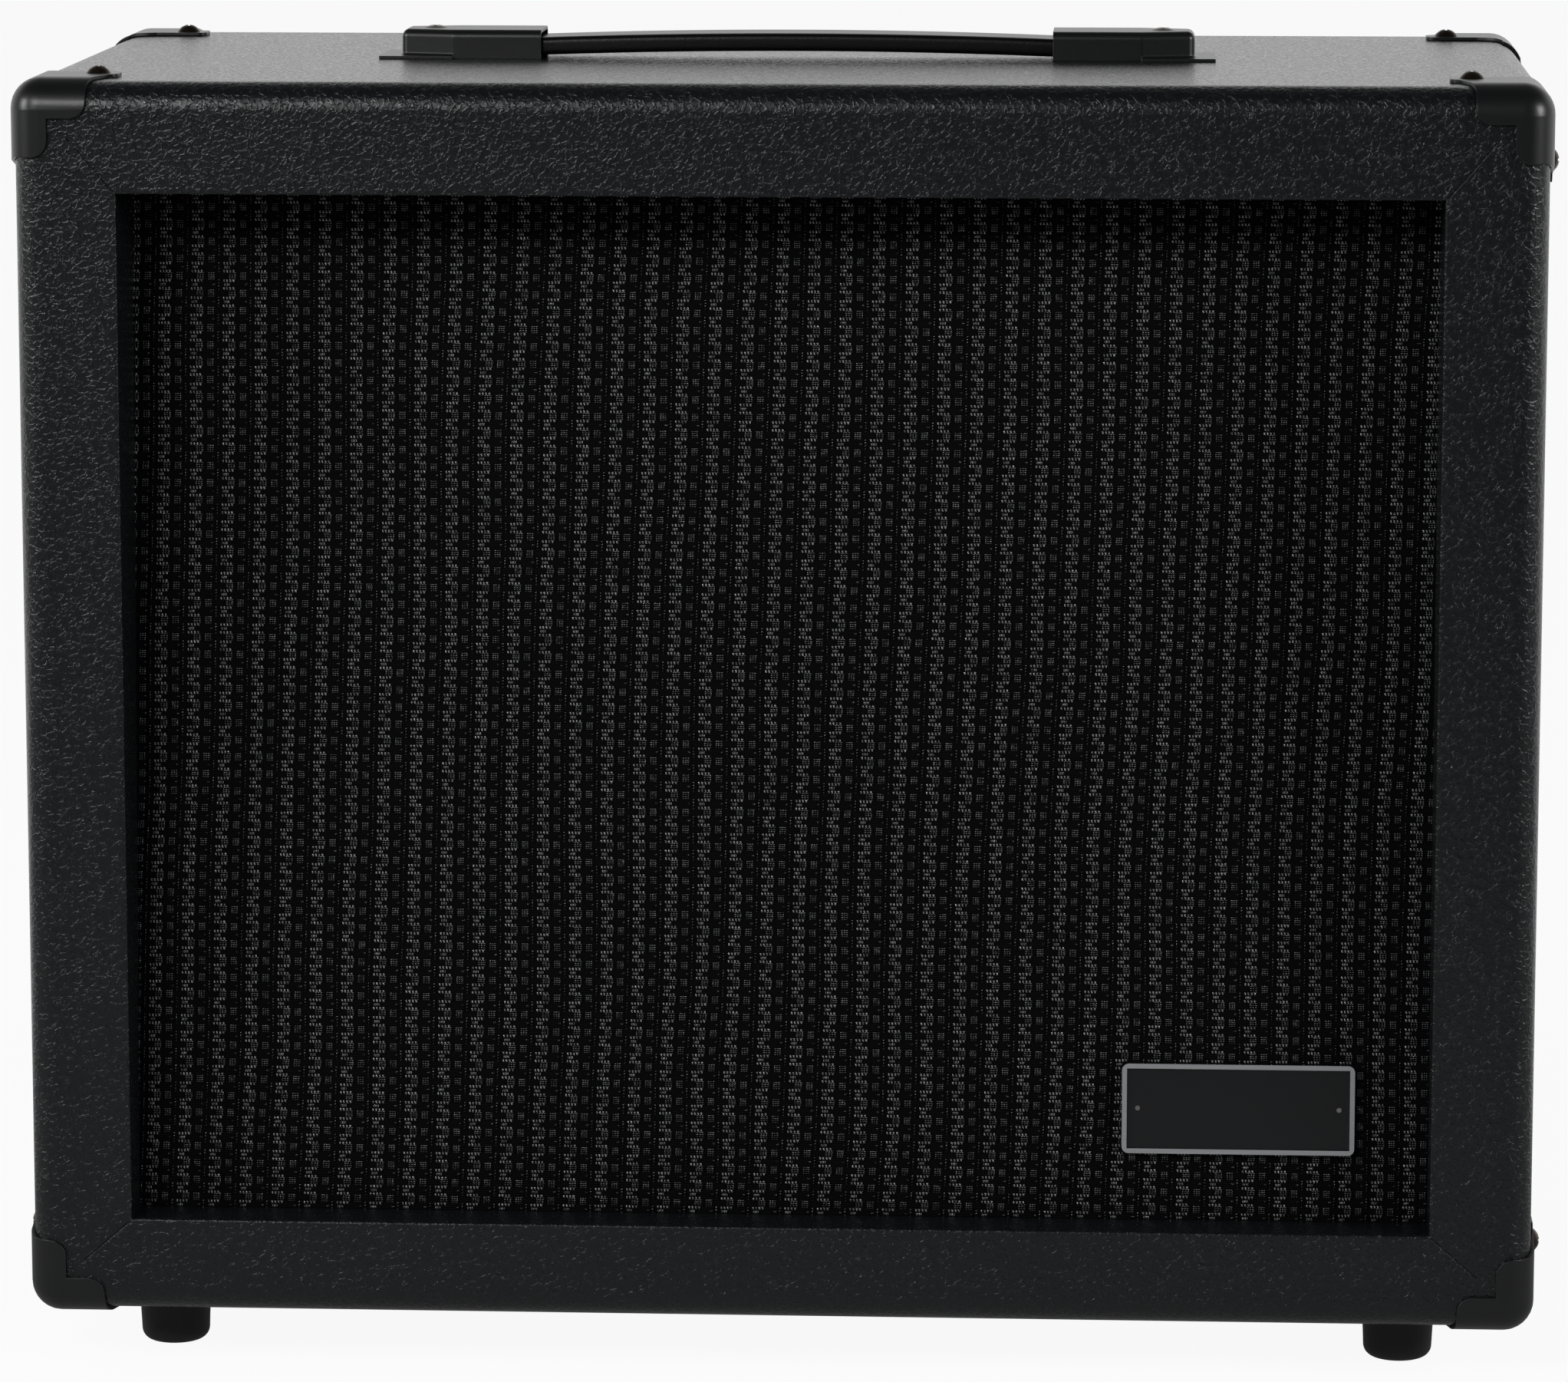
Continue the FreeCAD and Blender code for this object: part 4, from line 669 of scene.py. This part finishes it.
# Screws and bolts that show: steel with domed heads, blackened by oxide. Wear and oil leave the heads
# a dark bronze.
oxide, tree, shader = new_finish("black_oxide_steel")
place = add(tree, "TexCoord", {})
oxide_patch = add(tree, "TexNoise", {"Vector": place.outputs["Object"], "Scale": 500, "Detail": 3})
bronze = add(tree, "ValToRGB", {"Fac": oxide_patch.outputs["Fac"]})
bronze.color_ramp.elements[0].color = linear("#2b2621")
bronze.color_ramp.elements[1].color = linear("#4a4138")
wire(tree, shader, {"Base Color": bronze.outputs["Color"], "Metallic": 0.9, "Roughness": 0.3})
dress(oxide, "corner_screws", "handle_bolts", "back_panel_screws", "jack_plate_screws")

# Jack: a brass frame and nut, nickel-plated. The nut clamps the frame to the jack plate, and fingers
# and plugs have dulled the plating in places.
nickel, tree, shader = new_finish("nickel_plate")
place = add(tree, "TexCoord", {})
handling = add(tree, "TexNoise", {"Vector": place.outputs["Object"], "Scale": 400, "Detail": 3})
smudge = add(tree, "MapRange", {"Value": handling.outputs["Fac"], 3: 0.14, 4: 0.3})
wire(tree, shader, {"Base Color": linear("#c9c3b6"), "Metallic": 1.0})
wire(tree, shader, {"Roughness": smudge.outputs["Result"]})
dress(nickel, "jack_frame", "jack_nut")

# Strap of the handle: a moulded black PVC bar, bowed between the caps, whose slotted ends slide in them.
# Its middle lifts with the hand, and its two end stretches are separate pieces between the middle and
# the caps.
strap_half = 0.142
strap_width = 0.024
strap_thickness = 0.0065
strap_low = 0.4563
strap_round = 0.0031
strap_bow = 0.0027
bow_half = 0.116
grip_half = 0.036
tongue_half = 0.006
tongue_start = 0.124
bolt_place = 0.132
slot_half = 0.0032
slot_slide = 0.0025
slot_cutter_length = 0.03

bpy.ops.object.select_all(action="DESELECT")
bpy.ops.mesh.primitive_cube_add(size=1)
strap = bpy.context.object
strap.name = "strap"
strap.scale = (2 * strap_half, strap_width, strap_thickness)
settle(strap)
pick(strap, "EDGE", lambda p: abs(p.x) < 0.001 and abs(p.y) > 0.01)
bpy.ops.mesh.bevel(offset=strap_round, segments=10, profile=0.66)
pick(strap, "EDGE", lambda p: abs(p.x) < 0.001)
bpy.ops.mesh.subdivide(number_cuts=70)
settle(strap)
pick(strap, "VERT", lambda p: abs(p.x) > tongue_start)
bpy.ops.transform.resize(value=(1, 2 * tongue_half / strap_width, 1))
settle(strap)
stations = sorted({round(v.co.x, 6) for v in strap.data.vertices})
for station in stations:
    if abs(station) < bow_half:
        rise = strap_bow * (1 - (station / bow_half) ** 2)
        pick(strap, "VERT", lambda p: abs(p.x - station) < merge_distance)
        bpy.ops.transform.translate(value=(0, 0, rise))
bpy.ops.object.mode_set(mode="OBJECT")
strap.location = (0, 0, strap_low + strap_thickness / 2)
settle(strap)
for side in (-1, 1):
    bpy.ops.object.select_all(action="DESELECT")
    bpy.ops.mesh.primitive_cylinder_add(vertices=24, radius=slot_half, depth=slot_cutter_length)
    slot = bpy.context.object
    pick(slot, "VERT", lambda p: p.x > slot_half / 9)
    bpy.ops.transform.translate(value=(2 * slot_slide, 0, 0))
    bpy.ops.object.mode_set(mode="OBJECT")
    slot.location = (side * bolt_place - slot_slide, 0, strap_low)
    settle(slot)
    only(strap)
    opened = strap.modifiers.new("slot", "BOOLEAN")
    opened.object = slot
    bpy.ops.object.modifier_apply(modifier="slot")
    bpy.data.objects.remove(slot)

# Moulded PVC: smooth and black with a soft gloss and very shallow leather grain
strap_pvc, tree, shader = new_finish("moulded_pvc")
place = add(tree, "TexCoord", {})
pebbles = add(tree, "TexVoronoi", {"Vector": place.outputs["Object"], "Scale": 1100})
moulded = add(tree, "Bump", {"Height": pebbles.outputs["Distance"], "Distance": 0.00003})
wire(tree, shader, {"Base Color": linear("#060607"), "Roughness": 0.34, "IOR": 1.38})
wire(tree, shader, {"Normal": moulded.outputs["Normal"]})
strap.data.materials.append(strap_pvc)
stretches = (
    ("strap_grip_moulding", (-grip_half, grip_half), "strap_grip"),
    ("strap_left_moulding", (-strap_half, -grip_half), "strap_end_left"),
    ("strap_right_moulding", (grip_half, strap_half), "strap_end_right"),
)
for name, (start, end), node_name in stretches:
    only(strap)
    bpy.ops.object.duplicate()
    piece = bpy.context.object
    piece.name = name
    bpy.ops.object.mode_set(mode="EDIT")
    if start > -strap_half:
        bpy.ops.mesh.select_all(action="SELECT")
        bpy.ops.mesh.bisect(
            plane_co=(start, 0, 0), plane_no=(1, 0, 0), use_fill=True, clear_inner=True
        )
    if end < strap_half:
        bpy.ops.mesh.select_all(action="SELECT")
        bpy.ops.mesh.bisect(
            plane_co=(end, 0, 0), plane_no=(1, 0, 0), use_fill=True, clear_outer=True
        )
    bpy.ops.object.mode_set(mode="OBJECT")
    bpy.ops.object.shade_smooth_by_angle(angle=math.radians(50))
    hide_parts(node_name)
    if node_name == "strap_grip":
        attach(piece, "grip")
    else:
        side = -1 if start < 0 else 1
        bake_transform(piece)
bpy.data.objects.remove(strap)

# Feet: moulded black rubber, slightly tapered and rounded underneath. Each is held up to the bottom
# board by a screw through a washer sunk in it.
rubber, tree, shader = new_finish("moulded_rubber")
place = add(tree, "TexCoord", {})
bloom = add(tree, "TexNoise", {"Vector": place.outputs["Object"], "Scale": 1500, "Detail": 3})
rubber_relief = add(tree, "Bump", {"Height": bloom.outputs["Fac"], "Distance": 0.0001})
rubber_gloss = add(tree, "MapRange", {"Value": bloom.outputs["Fac"], 3: 0.5, 4: 0.68})
wire(tree, shader, {"Base Color": linear("#121213"), "Roughness": rubber_gloss.outputs["Result"]})
wire(tree, shader, {"Normal": rubber_relief.outputs["Normal"]})
dress(rubber, "rubber_feet")

# Studio: a pale floor and a white surround, a key softbox at the front left and a softbox on each side.
# The floor shines into the gloss of the object less in front of it and under it than behind it; the
# dimming under it is a painted shadow of the cabinet.
floor_size = 30
floor_white_share = 0.93
bpy.ops.object.select_all(action="DESELECT")
bpy.ops.mesh.primitive_plane_add(size=floor_size, location=(0, 0, 0))
floor = bpy.context.object
floor.name = "floor"
floor_paint = bpy.data.materials.new("studio_floor")
floor_paint.use_nodes = True
tree = floor_paint.node_tree
tree.nodes.clear()
rays = add(tree, "LightPath", {})
seen = add(
    tree,
    "Math",
    {0: rays.outputs["Is Camera Ray"], 1: rays.outputs["Is Glossy Ray"]},
    operation="MAXIMUM",
)
share = add(tree, "Math", {0: seen.outputs["Value"], 1: floor_white_share}, operation="MULTIPLY")
paint = add(tree, "BsdfDiffuse", {"Color": linear("#f2f2f2")})
place = add(tree, "TexCoord", {})
axes = add(tree, "SeparateXYZ", {"Vector": place.outputs["Object"]})
# Painted shadow: under the cabinet and in front of it, the floor's glow in the gloss is turned down to a
# quarter; far in front it fades out
shadow_and_dim_front = add(tree, "MapRange", {"Value": axes.outputs["Y"], 1: 0.1, 2: 0.4, 3: 0.24, 4: 1.0})
far = add(tree, "MapRange", {"Value": axes.outputs["Y"], 1: -1.5, 2: -0.8, 3: 0.0, 4: 1.0})
mirrored = add(
    tree,
    "Math",
    {0: shadow_and_dim_front.outputs["Result"], 1: far.outputs["Result"]},
    operation="MULTIPLY",
)
level = add(
    tree,
    "Mix",
    {"Factor": rays.outputs["Is Camera Ray"], "A": mirrored.outputs["Value"], "B": 1.0},
)
white = add(tree, "Emission", {"Color": linear("#ffffff"), "Strength": level.outputs["Result"]})
mixed = add(
    tree, "MixShader", {"Fac": share.outputs["Value"], 1: paint.outputs[0], 2: white.outputs[0]}
)
add(tree, "OutputMaterial", {"Surface": mixed.outputs[0]})
floor.data.materials.append(floor_paint)

world = bpy.data.worlds.new("studio")
bpy.context.scene.world = world
world.use_nodes = True
tree = world.node_tree
tree.nodes.clear()
rays = add(tree, "LightPath", {})
place = add(tree, "TexCoord", {})
axes = add(tree, "SeparateXYZ", {"Vector": place.outputs["Generated"]})
behind = add(
    tree,
    "MapRange",
    {"Value": axes.outputs["Y"], 1: -0.1, 2: 0.6, 3: 0.03, 4: 1.05},
    interpolation_type="SMOOTHSTEP",
)
ceiling = add(
    tree,
    "MapRange",
    {"Value": axes.outputs["Z"], 1: 0.3, 2: 0.75, 3: 1.0, 4: 0.12},
    interpolation_type="SMOOTHSTEP",
)
around = add(
    tree,
    "Math",
    {0: behind.outputs["Result"], 1: ceiling.outputs["Result"]},
    operation="MULTIPLY",
)
glossy = add(
    tree,
    "Math",
    {0: rays.outputs["Is Glossy Ray"], 1: rays.outputs["Is Transmission Ray"]},
    operation="MAXIMUM",
)
fill = add(
    tree,
    "Mix",
    {"Factor": glossy.outputs["Value"], "A": 0.22, "B": around.outputs["Value"]},
)
strength = add(
    tree,
    "Mix",
    {"Factor": rays.outputs["Is Camera Ray"], "A": fill.outputs["Result"], "B": 1.0},
)
surround = add(tree, "Background", {"Strength": strength.outputs["Result"]})
surround.inputs["Color"].default_value = linear("#ffffff")
add(tree, "OutputWorld", {"Surface": surround.outputs[0]})


def softbox(name, place, aim, size, power):
    """A rectangular lamp at a place, turned to face its aim."""
    bpy.ops.object.light_add(type="AREA", location=place)
    lamp = bpy.context.object
    lamp.name = name
    lamp.data.shape = "RECTANGLE"
    lamp.data.size, lamp.data.size_y = size
    lamp.data.energy = power
    facing = Vector(aim) - Vector(place)
    lamp.rotation_euler = facing.to_track_quat("-Z", "Y").to_euler()


softbox("key_softbox", (-0.85, -1.85, 1.25), (0, -0.12, 0.33), (0.9, 0.3), 16)
softbox("left_softbox", (-2.0, -0.95, 1.0), (0, -0.1, 0.28), (0.6, 0.6), 18)
softbox("right_softbox", (2.0, -0.95, 1.0), (0, -0.1, 0.28), (0.6, 0.6), 20)

# Camera: well in front, a little to the right and above, looking slightly down. The long lens keeps
# the sides of the cabinet nearly parallel.
camera_tilt = 80.65
camera_turn = 3.235
bpy.ops.object.camera_add(location=(0.1325, -2.4375, 0.625))
camera = bpy.context.object
camera.rotation_euler = (math.radians(camera_tilt), 0, math.radians(camera_turn))
camera.data.sensor_width = 36
camera.data.lens = 154.1
bpy.context.scene.camera = camera
bpy.context.scene.view_settings.view_transform = "Standard"
